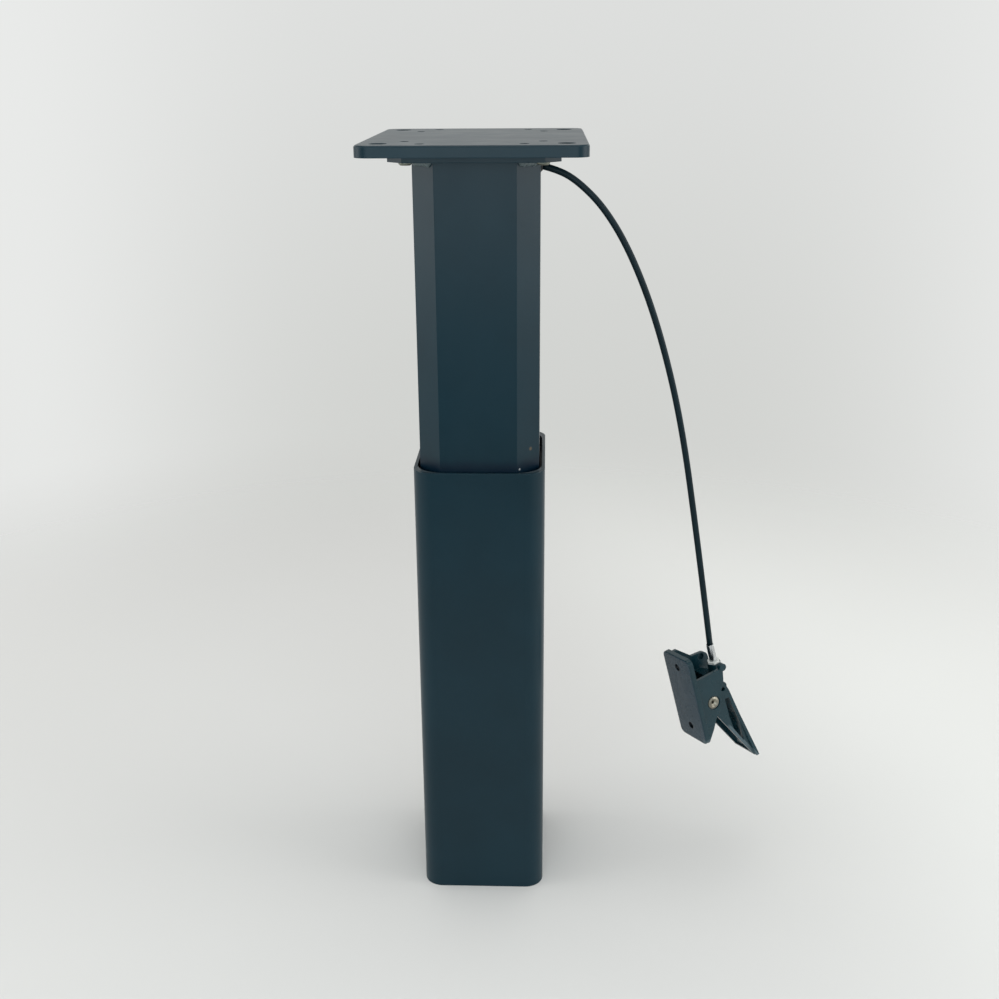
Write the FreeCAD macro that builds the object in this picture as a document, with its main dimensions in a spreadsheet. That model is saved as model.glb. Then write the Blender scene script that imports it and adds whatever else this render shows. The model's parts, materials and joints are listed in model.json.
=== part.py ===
import FreeCAD, Part
import math
import os
import Sketcher
from FreeCAD import Placement, Rotation, Vector

# Pneumatic lifting column: a rectangular outer tube that stands on the floor, an eight-sided
# inner tube pushed up by a lockable gas spring, a drilled top plate, and a hand lever that
# hangs on a sheathed cable and opens the valve of the spring.
# Frame: origin at the middle of the base, +Z up, the cable leaves on the +X side.
# The model stands as in the extended, locked position. Millimetres and degrees.

DIMENSIONS = {
    # outer tube and base
    "outer_width": 80,
    "outer_depth": 92,
    "outer_wall": 2,
    "outer_round": 12,
    "outer_height": 296,
    "base_thick": 12,
    "foot_hole_dia": 6.8,
    "foot_hole_pitch": 50,
    "base_screw_dia": 8,
    "base_screw_head": 16,
    "base_screw_length": 28,
    "base_socket": 5,
    # inner tube and its guides
    "inner_width": 72.8,
    "inner_depth": 84.8,
    "inner_bevel": 13.2,
    "inner_wall": 2,
    "inner_length": 291,
    "guide_gap": 0.3,
    "bush_height": 44,
    "bush_drop": 7,
    "shoe_height": 40,
    "shoe_lip": 3,
    # top plate and flange
    "column_height": 488,
    "plate_width": 125,
    "plate_depth": 160,
    "plate_thick": 6.4,
    "plate_round": 8,
    "plate_edge": 0.8,
    "corner_hole_dia": 10,
    "corner_hole_x": 101,
    "corner_hole_y": 129,
    "side_hole_dia": 5.5,
    "side_hole_x": 56,
    "side_hole_y": 134,
    "flange_width": 96,
    "flange_depth": 112,
    "flange_thick": 4.4,
    "flange_bevel": 9,
    "flange_screw_dia": 5,
    "flange_screw_head": 7.6,
    "flange_screw_rise": 1.8,
    "flange_screw_x": 76,
    "flange_screw_y": 94,
    "weld_leg": 3.6,
    "weld_drop": 4.4,
    "weld_toe": 0.7,
    "weld_short": 2,
    "weld_taper": 1,
    # gas spring
    "cylinder_dia": 28,
    "cylinder_bore": 25,
    "cylinder_top": 262,
    "cylinder_lip": 1.5,
    "plug_flange": 4,
    "plug_length": 18,
    "guide_length": 14,
    "seal_length": 6,
    "rod_dia": 10,
    "rod_bore": 3.4,
    "rod_fit": 0.06,
    "piston_gap": 3,
    "piston_length": 14,
    "piston_fit": 0.08,
    "ring_height": 4,
    "ring_depth": 1.6,
    "lock_nut_span": 17,
    "lock_nut_height": 6,
    # release head under the flange
    "head_width": 34,
    "head_depth": 26,
    "head_height": 38,
    "head_edge": 2,
    "rod_engage": 12,
    "slot_floor": 14,
    "slot_left": 15,
    "slot_right": 6,
    "slot_width": 7.2,
    "head_screw_dia": 4,
    "head_screw_head": 8,
    "head_screw_length": 14,
    "head_screw_x": 25,
    "head_screw_y": 18,
    "pivot_offset": 8.5,
    "pivot_drop": 12,
    "pivot_pin_dia": 4,
    "lever_thick": 6,
    "lever_hub": 8.4,
    "nose_dia": 5.2,
    "nose_rise": 0.6,
    "nose_gap": 0.1,
    "fork_width": 10.4,
    "fork_height": 16,
    "fork_slot": 5.6,
    "fork_floor": 9,
    "pin_dia": 3,
    "poppet_dia": 7,
    "poppet_height": 4.4,
    "poppet_gap": 0.3,
    # release cable
    "outlet_drop": 6.2,
    "sheath_dia": 4,
    "wire_dia": 1.4,
    "wire_bore": 2.4,
    "nipple_dia": 5,
    "nipple_length": 5.4,
    "ferrule_dia": 6,
    "ferrule_seat": 6,
    "ferrule_length": 13,
    "ferrule_cup": 6,
    "grommet_dia": 7.2,
    "grommet_neck": 6.4,
    "grommet_lip": 1.2,
    "grommet_nose": 0.4,
    # release handle: a is out from its mounting face, b across, c along, from the cable axis
    "handle_x": 153.5,
    "handle_z": 149.9,
    "handle_tilt": 14.3,
    "handle_turn": 30,
    "face_back": 28,
    "handle_plate": 3.5,
    "handle_width": 29.4,
    "handle_top": 16,
    "handle_bottom": 47.5,
    "handle_round": 4,
    "handle_edge": 0.8,
    "handle_hole_dia": 4.8,
    "handle_hole_top": 7.5,
    "handle_hole_pitch": 44.5,
    "cheek_span": 26.8,
    "cheek_thick": 2.5,
    "cheek_top": -0.5,
    "cheek_foot_back": 4.4,
    "cheek_foot_down": 18.4,
    "cheek_notch_back": 0.4,
    "cheek_notch_down": 11.5,
    "cheek_lip_out": 4.4,
    "cheek_lip_down": 6.9,
    "cheek_front_out": 7.7,
    "cheek_front_up": 6,
    "cheek_neck_out": 10.8,
    "cheek_neck_up": 11.3,
    "boss_back": 2.4,
    "near_boss_dia": 5,
    "near_boss_rise": 0.5,
    "ear_dia": 10.2,
    "ear_back": 1.9,
    "ear_down": 2.1,
    "ear_chin": 9,
    "chin_back": 5.5,
    "chin_down": 12.2,
    "boss_hole_dia": 4.6,
    "boss_hole_depth": 1.8,
    "gusset_top": 13,
    "gusset_level": 3.6,
    "gusset_back": 9,
    "gusset_foot": 5.5,
    "post_dia": 9,
    "post_top": -1.6,
    "post_length": 9.4,
    "bridge_thick": 3.5,
    "bridge_back": 9.5,
    "bridge_front": 5,
    "bridge_root": 1.5,
    "bridge_waist": 7,
    "adjuster_stem": 3,
    "adjuster_dia": 5,
    "adjuster_top": 12,
    "adjuster_bore": 2,
    "adjuster_cup": 1.2,
    "adjuster_cup_dia": 4.3,
    "wire_end_gap": 1,
    "collar_span": 7.6,
    "collar_height": 1.4,
    "rivet_dia": 5,
    "rivet_head": 8.2,
    "rivet_crest": 5.8,
    "rivet_rise": 1,
    "rivet_dish": 0.4,
    "rivet_bore": 1.8,
    "recess_dia": 9.8,
    "recess_depth": 0.7,
    "pivot_back": 14.9,
    "pivot_down": 21.1,
    "hinge_fit": 0.1,
    # hand lever
    "lever_width": 21.2,
    "lever_wall": 2.2,
    "lever_skin": 2.2,
    "lever_nipple_dia": 4,
    "lever_nipple_down": 19.3,
    "lever_top": 12.6,
    "lever_tip": 75,
    "lever_tip_out": 11.5,
    "lever_tip_thick": 2.6,
    "lever_shoulder_out": 0.3,
    "lever_brow": 2.4,
    "lever_brow_back": 5.8,
    "lever_heel_back": 6,
    "lever_heel_down": 46.5,
    "lever_hub_angle": 107,
    "window_top": 24.5,
    "window_rim": 2.4,
    "window_wide": 3.2,
    "window_knee": 46,
    "window_belly_back": 4,
    "window_belly_down": 37.5,
    "window_heel_back": 2.6,
    "window_heel_down": 48.5,
    "window_tip": 60.5,
    "window_tip_in": 5.4,
    "entry_dia": 3,
    "entry_back": 4,
    "entry_down": 17,
    "lug_dia": 6.8,
    "lug_width": 8,
    "wire_swing": 2,
    "lever_hub_dia": 11,
    "lever_wing_width": 25.4,
    "lever_wing_top": 40,
    "rib_thick": 1.8,
    "rib_rise": 2,
    "rib_depth": 3,
    "rib_ramp": 8,
}

# Route of the free cable from the outlet to the handle, (x, z) in the plane y = 0.
CABLE_ROUTE = [
    (38.2, 471.0),
    (48.1, 469.2),
    (59.4, 461.7),
    (73.4, 447.2),
    (88.4, 423.5),
    (103.6, 387.3),
    (117.2, 343.5),
    (126.9, 300.9),
    (135.7, 253.0),
    (143.7, 205.4),
    (150.783, 160.559),
]

# Share of a run that the arc at its end takes
ARC_SHARE = 0.45

doc = FreeCAD.newDocument("lifting_column")
sub_parts = []


def make_sheet():
    sheet = doc.addObject("Spreadsheet::Sheet", "sheet")
    for row, (alias, number) in enumerate(DIMENSIONS.items(), start=1):
        sheet.set(f"A{row}", alias)
        sheet.set(f"B{row}", str(number))
        sheet.setAlias(f"B{row}", alias)
    doc.recompute()
    return sheet


sheet = make_sheet()


# General helpers

def value(expression):
    """The number that an expression on the sheet comes to."""
    return float(sheet.evalExpression(expression))


def place(part, x="0", y="0", z="0"):
    """Bind the position of a sub-part to the sheet."""
    for axis, expression in zip("xyz", (x, y, z)):
        part.setExpression(f"Placement.Base.{axis}", expression)


def finish(part, label):
    """Name a finished sub-part and put it on the list that is written out."""
    part.Label = label
    sub_parts.append(part)
    return part


def new_body(label):
    return finish(doc.addObject("PartDesign::Body", label + "_body"), label)


def new_sketch(body, role, offset="0"):
    """A sketch on one of the body's own origin planes, moved along that plane's normal."""
    plane = next(item for item in body.Origin.OriginFeatures if item.Role == role)
    sketch = body.newObject("Sketcher::SketchObject", "sketch")
    sketch.AttachmentSupport = (plane, [""])
    sketch.MapMode = "FlatFace"
    sketch.setExpression("AttachmentOffset.Base.z", offset)
    return sketch


def pin_point(sketch, geometry, point, x, y):
    """Hold a sketch point at two expressions, measured from the sketch's origin."""
    for kind, axis, expression in (("DistanceX", -2, x), ("DistanceY", -1, y)):
        number = value(expression)
        if abs(number) < 1e-9:
            sketch.addConstraint(Sketcher.Constraint("PointOnObject", geometry, point, axis))
            continue
        index = sketch.addConstraint(Sketcher.Constraint(kind, -1, 1, geometry, point, number))
        sketch.setExpression(f"Constraints[{index}]", expression)


def add_outline(sketch, corners):
    """A closed straight-sided outline through corners given as pairs of expressions."""
    numbers = [Vector(value(x), value(y), 0) for x, y in corners]
    first = sketch.GeometryCount
    count = len(corners)
    for i in range(count):
        sketch.addGeometry(Part.LineSegment(numbers[i], numbers[(i + 1) % count]), False)
    for i in range(count):
        sketch.addConstraint(Sketcher.Constraint("Coincident", first + i, 2, first + (i + 1) % count, 1))
    for i, (x, y) in enumerate(corners):
        pin_point(sketch, first + i, 1, x, y)


def add_rectangle(sketch, width, depth):
    """A rectangle about the sketch's origin."""
    x = f"({width}) / 2"
    y = f"({depth}) / 2"
    add_outline(sketch, [(f"-{x}", f"-{y}"), (x, f"-{y}"), (x, y), (f"-{x}", y)])


def add_octagon(sketch, width, depth, bevel):
    """A rectangle about the sketch's origin with its four corners cut at 45 degrees."""
    x = f"({width}) / 2"
    y = f"({depth}) / 2"
    short_x = f"(({width}) / 2 - ({bevel}))"
    short_y = f"(({depth}) / 2 - ({bevel}))"
    add_outline(sketch, [
        (f"-{short_x}", f"-{y}"), (short_x, f"-{y}"), (x, f"-{short_y}"), (x, short_y),
        (short_x, y), (f"-{short_x}", y), (f"-{x}", short_y), (f"-{x}", f"-{short_y}"),
    ])


def add_hexagon(sketch, span):
    """A hexagon about the sketch's origin, given by its width across flats."""
    reach = f"({span}) / 2 / cos(30 deg)"
    add_outline(sketch, [
        (f"{reach} * cos({60 * i} deg)", f"{reach} * sin({60 * i} deg)") for i in range(6)
    ])


def add_circle(sketch, diameter, x="0", y="0"):
    centre = Vector(value(x), value(y), 0)
    circle = Part.Circle(centre, Vector(0, 0, 1), value(diameter) / 2)
    geometry = sketch.addGeometry(circle, False)
    index = sketch.addConstraint(Sketcher.Constraint("Diameter", geometry, value(diameter)))
    sketch.setExpression(f"Constraints[{index}]", diameter)
    pin_point(sketch, geometry, 3, x, y)


def add_circle_grid(sketch, diameter, pitch_x, pitch_y):
    """Four circles at the corners of a rectangle about the sketch's origin."""
    for sign_x in "-+":
        for sign_y in "-+":
            add_circle(sketch, diameter, f"{sign_x}({pitch_x}) / 2", f"{sign_y}({pitch_y}) / 2")


def pad(body, sketch, length, symmetric=False, back=False):
    feature = body.newObject("PartDesign::Pad", "pad")
    feature.Profile = sketch
    feature.setExpression("Length", length)
    feature.SideType = "Symmetric" if symmetric else "One side"
    feature.Reversed = back
    doc.recompute()
    return feature


def pocket(body, sketch, depth=None, symmetric=False, back=False):
    """Cut a sketch away, to a depth or right through, and check that it took something off."""
    before = body.Shape.Volume
    feature = body.newObject("PartDesign::Pocket", "pocket")
    feature.Profile = sketch
    if depth is None:
        feature.Type = "ThroughAll"
    else:
        feature.setExpression("Length", depth)
    feature.SideType = "Symmetric" if symmetric else "One side"
    feature.Reversed = back
    doc.recompute()
    if not body.Shape.Volume < before:
        raise RuntimeError(f"{body.Label}: a pocket cuts nothing")
    return feature


def edges_where(body, test):
    return [f"Edge{i}" for i, edge in enumerate(body.Shape.Edges, start=1) if test(edge)]


def dress(body, kind, test, size):
    """A fillet or a chamfer on the edges of the body that pass a test."""
    base = body.Tip
    names = edges_where(body, test)
    if not names:
        raise RuntimeError(f"{body.Label}: no edge to {kind}")
    feature = body.newObject(f"PartDesign::{kind}", kind.lower())
    feature.Base = (base, names)
    feature.setExpression("Radius" if kind == "Fillet" else "Size", size)
    body.Tip = feature
    doc.recompute()
    return feature


def direction(edge):
    return edge.tangentAt(edge.FirstParameter)


def upright(edge, within=math.inf):
    """True for a straight edge along Z whose distance from Z is at most a limit."""
    if not isinstance(edge.Curve, Part.Line):
        return False
    middle = edge.CenterOfMass
    return abs(direction(edge).z) > 0.999 and math.hypot(middle.x, middle.y) <= within


def circle_at(edge, diameter, z):
    """True for a full circle of a diameter that lies at a height."""
    if not isinstance(edge.Curve, Part.Circle):
        return False
    same_size = abs(edge.Curve.Radius - value(diameter) / 2) < 1e-3
    return same_size and abs(edge.CenterOfMass.z - value(z)) < 1e-3


def turned(label, corners):
    """A body of revolution about Z from an outline in radius and height."""
    body = new_body(label)
    sketch = new_sketch(body, "XZ_Plane")
    add_outline(sketch, corners)
    feature = body.newObject("PartDesign::Revolution", "turning")
    feature.Profile = sketch
    feature.ReferenceAxis = (sketch, ["V_Axis"])
    feature.Angle = 360
    doc.recompute()
    return body


def turned_ring(label, outside, inside, length):
    """A plain turned sleeve, standing on its own origin."""
    return turned(label, [
        (f"{inside} / 2", "0"), (f"{outside} / 2", "0"),
        (f"{outside} / 2", length), (f"{inside} / 2", length),
    ])


# Sections and heights that several sub-parts share

BORE = ("(sheet.outer_width - 2 * sheet.outer_wall)", "(sheet.outer_depth - 2 * sheet.outer_wall)")
BORE_ROUND = "(sheet.outer_round - sheet.outer_wall)"
INNER = ("sheet.inner_width", "sheet.inner_depth", "sheet.inner_bevel")
INNER_INSIDE = (
    "(sheet.inner_width - 2 * sheet.inner_wall)",
    "(sheet.inner_depth - 2 * sheet.inner_wall)",
    "(sheet.inner_bevel - sheet.inner_wall * (2 - sqrt(2)))",
)
PLATE_BOTTOM = "(sheet.column_height - sheet.plate_thick)"
FLANGE_BOTTOM = f"({PLATE_BOTTOM} - sheet.flange_thick)"
OUTLET = f"({FLANGE_BOTTOM} - sheet.outlet_drop)"
HEAD_BOTTOM = f"({FLANGE_BOTTOM} - sheet.head_height)"
PIVOT = f"({OUTLET} - sheet.pivot_drop)"
CYLINDER_BOTTOM = "(sheet.base_thick + sheet.plug_flange)"
GUIDE_BOTTOM = "(sheet.cylinder_top - sheet.cylinder_lip - sheet.guide_length)"
SEAL_BOTTOM = f"({GUIDE_BOTTOM} - sheet.seal_length)"
PISTON_BOTTOM = f"({SEAL_BOTTOM} - sheet.piston_gap - sheet.piston_length)"


# Outer column, which stands on the floor

def outer_tube():
    body = new_body("outer_tube")
    outside = new_sketch(body, "XY_Plane")
    add_rectangle(outside, "sheet.outer_width", "sheet.outer_depth")
    pad(body, outside, "sheet.outer_height")
    inside = new_sketch(body, "XY_Plane")
    add_rectangle(inside, *BORE)
    pocket(body, inside, back=True)
    between = value("hypot(sheet.outer_width - sheet.outer_wall; sheet.outer_depth - sheet.outer_wall) / 2")
    dress(body, "Fillet", lambda edge: upright(edge, between), BORE_ROUND)
    dress(body, "Fillet", lambda edge: upright(edge) and not upright(edge, between), "sheet.outer_round")


def base_plate():
    body = new_body("base_plate")
    outline = new_sketch(body, "XY_Plane")
    add_rectangle(outline, *BORE)
    pad(body, outline, "sheet.base_thick")
    dress(body, "Fillet", upright, BORE_ROUND)
    holes = new_sketch(body, "XY_Plane")
    add_circle_grid(holes, "sheet.foot_hole_dia", "sheet.foot_hole_pitch", "sheet.foot_hole_pitch")
    add_circle(holes, "sheet.base_screw_dia")
    pocket(body, holes, back=True)
    dress(body, "Chamfer", lambda edge: circle_at(edge, "sheet.base_screw_dia", "0"),
          "(sheet.base_screw_head - sheet.base_screw_dia) / 2")


def base_screw():
    """Countersunk screw that holds the gas spring down on the base plate."""
    cone = "(sheet.base_screw_head - sheet.base_screw_dia) / 2"
    body = turned("base_screw", [
        ("0", "0"), ("sheet.base_screw_head / 2", "0"), ("sheet.base_screw_dia / 2", cone),
        ("sheet.base_screw_dia / 2", "sheet.base_screw_length"), ("0", "sheet.base_screw_length"),
    ])
    socket = new_sketch(body, "XY_Plane")
    add_hexagon(socket, "sheet.base_socket")
    pocket(body, socket, "sheet.base_socket / 2", back=True)


def gas_cylinder():
    body = turned("gas_cylinder", [
        ("sheet.cylinder_bore / 2", "0"),
        ("sheet.cylinder_dia / 2", "0"),
        ("sheet.cylinder_dia / 2", f"sheet.cylinder_top - {CYLINDER_BOTTOM}"),
        ("sheet.rod_dia", f"sheet.cylinder_top - {CYLINDER_BOTTOM}"),
        ("sheet.rod_dia", f"sheet.cylinder_top - sheet.cylinder_lip - {CYLINDER_BOTTOM}"),
        ("sheet.cylinder_bore / 2", f"sheet.cylinder_top - sheet.cylinder_lip - {CYLINDER_BOTTOM}"),
    ])
    place(body, z=CYLINDER_BOTTOM)


def cylinder_plug():
    """Bottom closure of the cylinder, tapped for the base screw."""
    body = turned("cylinder_plug", [
        ("sheet.base_screw_dia / 2", "0"),
        ("sheet.cylinder_dia / 2", "0"),
        ("sheet.cylinder_dia / 2", "sheet.plug_flange"),
        ("sheet.cylinder_bore / 2", "sheet.plug_flange"),
        ("sheet.cylinder_bore / 2", "sheet.plug_flange + sheet.plug_length"),
        ("0", "sheet.plug_flange + sheet.plug_length"),
        ("0", "sheet.base_screw_length - sheet.base_thick"),
        ("sheet.base_screw_dia / 2", "sheet.base_screw_length - sheet.base_thick"),
    ])
    place(body, z="sheet.base_thick")


def rod_guide_and_seal():
    bore = "(sheet.rod_dia + 2 * sheet.rod_fit)"
    guide = turned_ring("rod_guide", "sheet.cylinder_bore", bore, "sheet.guide_length")
    place(guide, z=GUIDE_BOTTOM)
    seal = turned_ring("rod_seal", "sheet.cylinder_bore", bore, "sheet.seal_length")
    place(seal, z=SEAL_BOTTOM)


def upper_guide_bush():
    """Sliding bush in the mouth of the outer tube, just below its rim."""
    body = new_body("upper_guide_bush")
    outside = new_sketch(body, "XY_Plane")
    add_rectangle(outside, *BORE)
    pad(body, outside, "sheet.bush_height")
    dress(body, "Fillet", upright, BORE_ROUND)
    inside = new_sketch(body, "XY_Plane")
    width, depth, bevel = INNER
    add_octagon(inside, f"{width} + 2 * sheet.guide_gap", f"{depth} + 2 * sheet.guide_gap", bevel)
    pocket(body, inside, back=True)
    place(body, z="sheet.outer_height - sheet.bush_drop - sheet.bush_height")


# Lifting column, which slides in the outer one

def inner_tube():
    body = new_body("inner_tube")
    outside = new_sketch(body, "XY_Plane")
    add_octagon(outside, *INNER)
    pad(body, outside, "sheet.inner_length")
    inside = new_sketch(body, "XY_Plane")
    add_octagon(inside, *INNER_INSIDE)
    pocket(body, inside, back=True)
    outlet = new_sketch(body, "YZ_Plane")
    add_circle(outlet, "sheet.grommet_neck", y="sheet.inner_length - sheet.outlet_drop")
    pocket(body, outlet, back=True)
    place(body, z=f"{FLANGE_BOTTOM} - sheet.inner_length")


def lower_guide_shoe():
    """Sliding shoe that wraps the lower end of the inner tube."""
    body = new_body("lower_guide_shoe")
    outside = new_sketch(body, "XY_Plane")
    add_rectangle(outside, *[f"{side} - 2 * sheet.guide_gap" for side in BORE])
    pad(body, outside, "sheet.shoe_height + sheet.shoe_lip")
    dress(body, "Fillet", upright, f"{BORE_ROUND} - sheet.guide_gap")
    seat = new_sketch(body, "XY_Plane", "sheet.shoe_height + sheet.shoe_lip")
    add_octagon(seat, *INNER)
    pocket(body, seat, "sheet.shoe_height")
    opening = new_sketch(body, "XY_Plane")
    add_octagon(opening, *INNER_INSIDE)
    pocket(body, opening, back=True)
    place(body, z=f"{FLANGE_BOTTOM} - sheet.inner_length - sheet.shoe_lip")


def flange_plate():
    body = new_body("flange_plate")
    outline = new_sketch(body, "XY_Plane")
    add_rectangle(outline, "sheet.flange_width", "sheet.flange_depth")
    pad(body, outline, "sheet.flange_thick")
    dress(body, "Chamfer", upright, "sheet.flange_bevel")
    holes = new_sketch(body, "XY_Plane")
    add_circle_grid(holes, "sheet.flange_screw_dia", "sheet.flange_screw_x", "sheet.flange_screw_y")
    add_circle_grid(holes, "sheet.head_screw_dia", "sheet.head_screw_x", "sheet.head_screw_y")
    pocket(body, holes, back=True)
    dress(body, "Chamfer", lambda edge: circle_at(edge, "sheet.head_screw_dia", "sheet.flange_thick"),
          "(sheet.head_screw_head - sheet.head_screw_dia) / 2")
    place(body, z=FLANGE_BOTTOM)


def weld_beads():
    """One fillet weld under the flange on each of the four cut corners of the inner tube."""
    length = "(sheet.inner_bevel * sqrt(2) - sheet.weld_short)"
    reach_x = value("(sheet.inner_width - sheet.inner_bevel) / 2")
    reach_y = value("(sheet.inner_depth - sheet.inner_bevel) / 2")
    lying = Rotation(Vector(0, -1, 0), Vector(0, 0, -1), Vector(1, 0, 0), "XZY")
    beads = []
    for angle, sign_x, sign_y in ((45, 1, 1), (135, -1, 1), (225, -1, -1), (315, 1, -1)):
        bead = doc.addObject("Part::Wedge", "bead")
        for name, expression in {
            "Xmin": f"-{length} / 2", "Xmax": f"{length} / 2",
            "X2min": f"-{length} / 2 + sheet.weld_taper", "X2max": f"{length} / 2 - sheet.weld_taper",
            "Ymin": "0", "Ymax": "sheet.weld_drop",
            "Zmin": "0", "Zmax": "sheet.weld_leg", "Z2min": "0", "Z2max": "sheet.weld_toe",
        }.items():
            bead.setExpression(name, expression)
        spot = Vector(sign_x * reach_x, sign_y * reach_y, value(FLANGE_BOTTOM))
        bead.Placement = Placement(spot, Rotation(Vector(0, 0, 1), angle) * lying)
        beads.append(bead)
    group = doc.addObject("Part::Compound", "weld_beads_group")
    group.Links = beads
    finish(group, "weld_beads")


def top_plate():
    body = new_body("top_plate")
    outline = new_sketch(body, "XY_Plane")
    add_rectangle(outline, "sheet.plate_width", "sheet.plate_depth")
    pad(body, outline, "sheet.plate_thick")
    dress(body, "Fillet", upright, "sheet.plate_round")
    dress(body, "Chamfer", lambda edge: edge.BoundBox.ZMin > value("sheet.plate_thick") - 1e-3,
          "sheet.plate_edge")
    holes = new_sketch(body, "XY_Plane")
    add_circle_grid(holes, "sheet.corner_hole_dia", "sheet.corner_hole_x", "sheet.corner_hole_y")
    add_circle_grid(holes, "sheet.side_hole_dia", "sheet.side_hole_x", "sheet.side_hole_y")
    add_circle_grid(holes, "sheet.flange_screw_dia", "sheet.flange_screw_x", "sheet.flange_screw_y")
    pocket(body, holes, back=True)
    place(body, z=PLATE_BOTTOM)


def flange_screws():
    """Four screws from below, through the flange and into the tapped top plate."""
    body = new_body("flange_screws")
    body.AllowCompound = True
    for diameter, length, below in (
        ("sheet.flange_screw_head", "sheet.flange_screw_rise", True),
        ("sheet.flange_screw_dia", "sheet.flange_thick + sheet.plate_thick - sheet.plate_edge", False),
    ):
        sketch = new_sketch(body, "XY_Plane")
        add_circle_grid(sketch, diameter, "sheet.flange_screw_x", "sheet.flange_screw_y")
        pad(body, sketch, length, back=below)
    dress(body, "Chamfer",
          lambda edge: circle_at(edge, "sheet.flange_screw_head", "-sheet.flange_screw_rise"),
          "sheet.flange_screw_rise / 2")
    place(body, z=FLANGE_BOTTOM)


def rod_and_piston():
    """Moving half of the gas spring: piston rod, piston, sealing ring and lock nut."""
    rod = turned_ring("gas_rod", "sheet.rod_dia", "sheet.rod_bore",
                      f"{HEAD_BOTTOM} + sheet.rod_engage - {PISTON_BOTTOM}")
    place(rod, z=PISTON_BOTTOM)

    groove = "(sheet.cylinder_bore / 2 - sheet.piston_fit - sheet.ring_depth)"
    rim = "(sheet.cylinder_bore / 2 - sheet.piston_fit)"
    low = "(sheet.piston_length - sheet.ring_height) / 2"
    high = "(sheet.piston_length + sheet.ring_height) / 2"
    piston = turned("piston", [
        ("sheet.rod_dia / 2", "0"), (rim, "0"), (rim, low), (groove, low),
        (groove, high), (rim, high), (rim, "sheet.piston_length"),
        ("sheet.rod_dia / 2", "sheet.piston_length"),
    ])
    place(piston, z=PISTON_BOTTOM)
    ring = turned_ring("piston_ring", "(sheet.cylinder_bore - sheet.piston_fit)",
                       f"(2 * {groove})", "sheet.ring_height")
    place(ring, z=f"{PISTON_BOTTOM} + {low}")

    nut = new_body("rod_lock_nut")
    sides = new_sketch(nut, "XY_Plane")
    add_hexagon(sides, "sheet.lock_nut_span")
    pad(nut, sides, "sheet.lock_nut_height")
    hole = new_sketch(nut, "XY_Plane")
    add_circle(hole, "sheet.rod_dia")
    pocket(nut, hole, back=True)
    place(nut, z=f"{HEAD_BOTTOM} - sheet.lock_nut_height")


def release_head():
    """Block under the flange that takes the rod, the release lever and the cable end."""
    body = new_body("release_head")
    block = new_sketch(body, "XY_Plane")
    add_rectangle(block, "sheet.head_width", "sheet.head_depth")
    pad(body, block, "sheet.head_height")
    dress(body, "Chamfer", upright, "sheet.head_edge")
    rod_seat = new_sketch(body, "XY_Plane")
    add_circle(rod_seat, "sheet.rod_dia")
    pocket(body, rod_seat, "sheet.rod_engage", back=True)
    slot = new_sketch(body, "XY_Plane", "sheet.head_height")
    add_outline(slot, [
        ("-sheet.slot_left", "-sheet.slot_width / 2"), ("sheet.slot_right", "-sheet.slot_width / 2"),
        ("sheet.slot_right", "sheet.slot_width / 2"), ("-sheet.slot_left", "sheet.slot_width / 2"),
    ])
    pocket(body, slot, "sheet.head_height - sheet.slot_floor")
    pin_way = new_sketch(body, "XY_Plane")
    add_circle(pin_way, "sheet.ferrule_dia")
    pocket(body, pin_way, "sheet.slot_floor", back=True)
    wire_way = new_sketch(body, "YZ_Plane")
    add_circle(wire_way, "sheet.wire_bore", y="sheet.head_height - sheet.outlet_drop")
    pocket(body, wire_way, back=True)
    ferrule_seat = new_sketch(body, "YZ_Plane", "sheet.head_width / 2")
    add_circle(ferrule_seat, "sheet.ferrule_dia", y="sheet.head_height - sheet.outlet_drop")
    pocket(body, ferrule_seat, "sheet.ferrule_seat")
    pivot = new_sketch(body, "XZ_Plane")
    add_circle(pivot, "sheet.pivot_pin_dia", "-sheet.pivot_offset",
               "sheet.head_height - sheet.outlet_drop - sheet.pivot_drop")
    pocket(body, pivot, "sheet.head_depth", symmetric=True)
    screws = new_sketch(body, "XY_Plane", "sheet.head_height")
    add_circle_grid(screws, "sheet.head_screw_dia", "sheet.head_screw_x", "sheet.head_screw_y")
    pocket(body, screws, "sheet.head_screw_length - sheet.flange_thick")
    place(body, z=HEAD_BOTTOM)


def head_screws():
    """Four countersunk screws that hang the release head under the flange."""
    body = new_body("head_screws")
    body.AllowCompound = True
    shanks = new_sketch(body, "XY_Plane")
    add_circle_grid(shanks, "sheet.head_screw_dia", "sheet.head_screw_x", "sheet.head_screw_y")
    pad(body, shanks, "sheet.head_screw_length", back=True)
    cone = "((sheet.head_screw_head - sheet.head_screw_dia) / 2)"
    heads = new_sketch(body, "XY_Plane", f"-{cone}")
    add_circle_grid(heads, "sheet.head_screw_dia", "sheet.head_screw_x", "sheet.head_screw_y")
    flare = pad(body, heads, cone)
    flare.TaperAngle = 45
    doc.recompute()
    place(body, z=PLATE_BOTTOM)


def release_pivot_pin():
    pin = doc.addObject("Part::Cylinder", "release_pivot_pin_rod")
    pin.setExpression("Radius", "sheet.pivot_pin_dia / 2")
    pin.setExpression("Height", "sheet.head_depth")
    pin.Placement.Rotation = Rotation(Vector(1, 0, 0), 90)
    place(pin, "-sheet.pivot_offset", "sheet.head_depth / 2", PIVOT)
    finish(pin, "release_pivot_pin")


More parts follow.
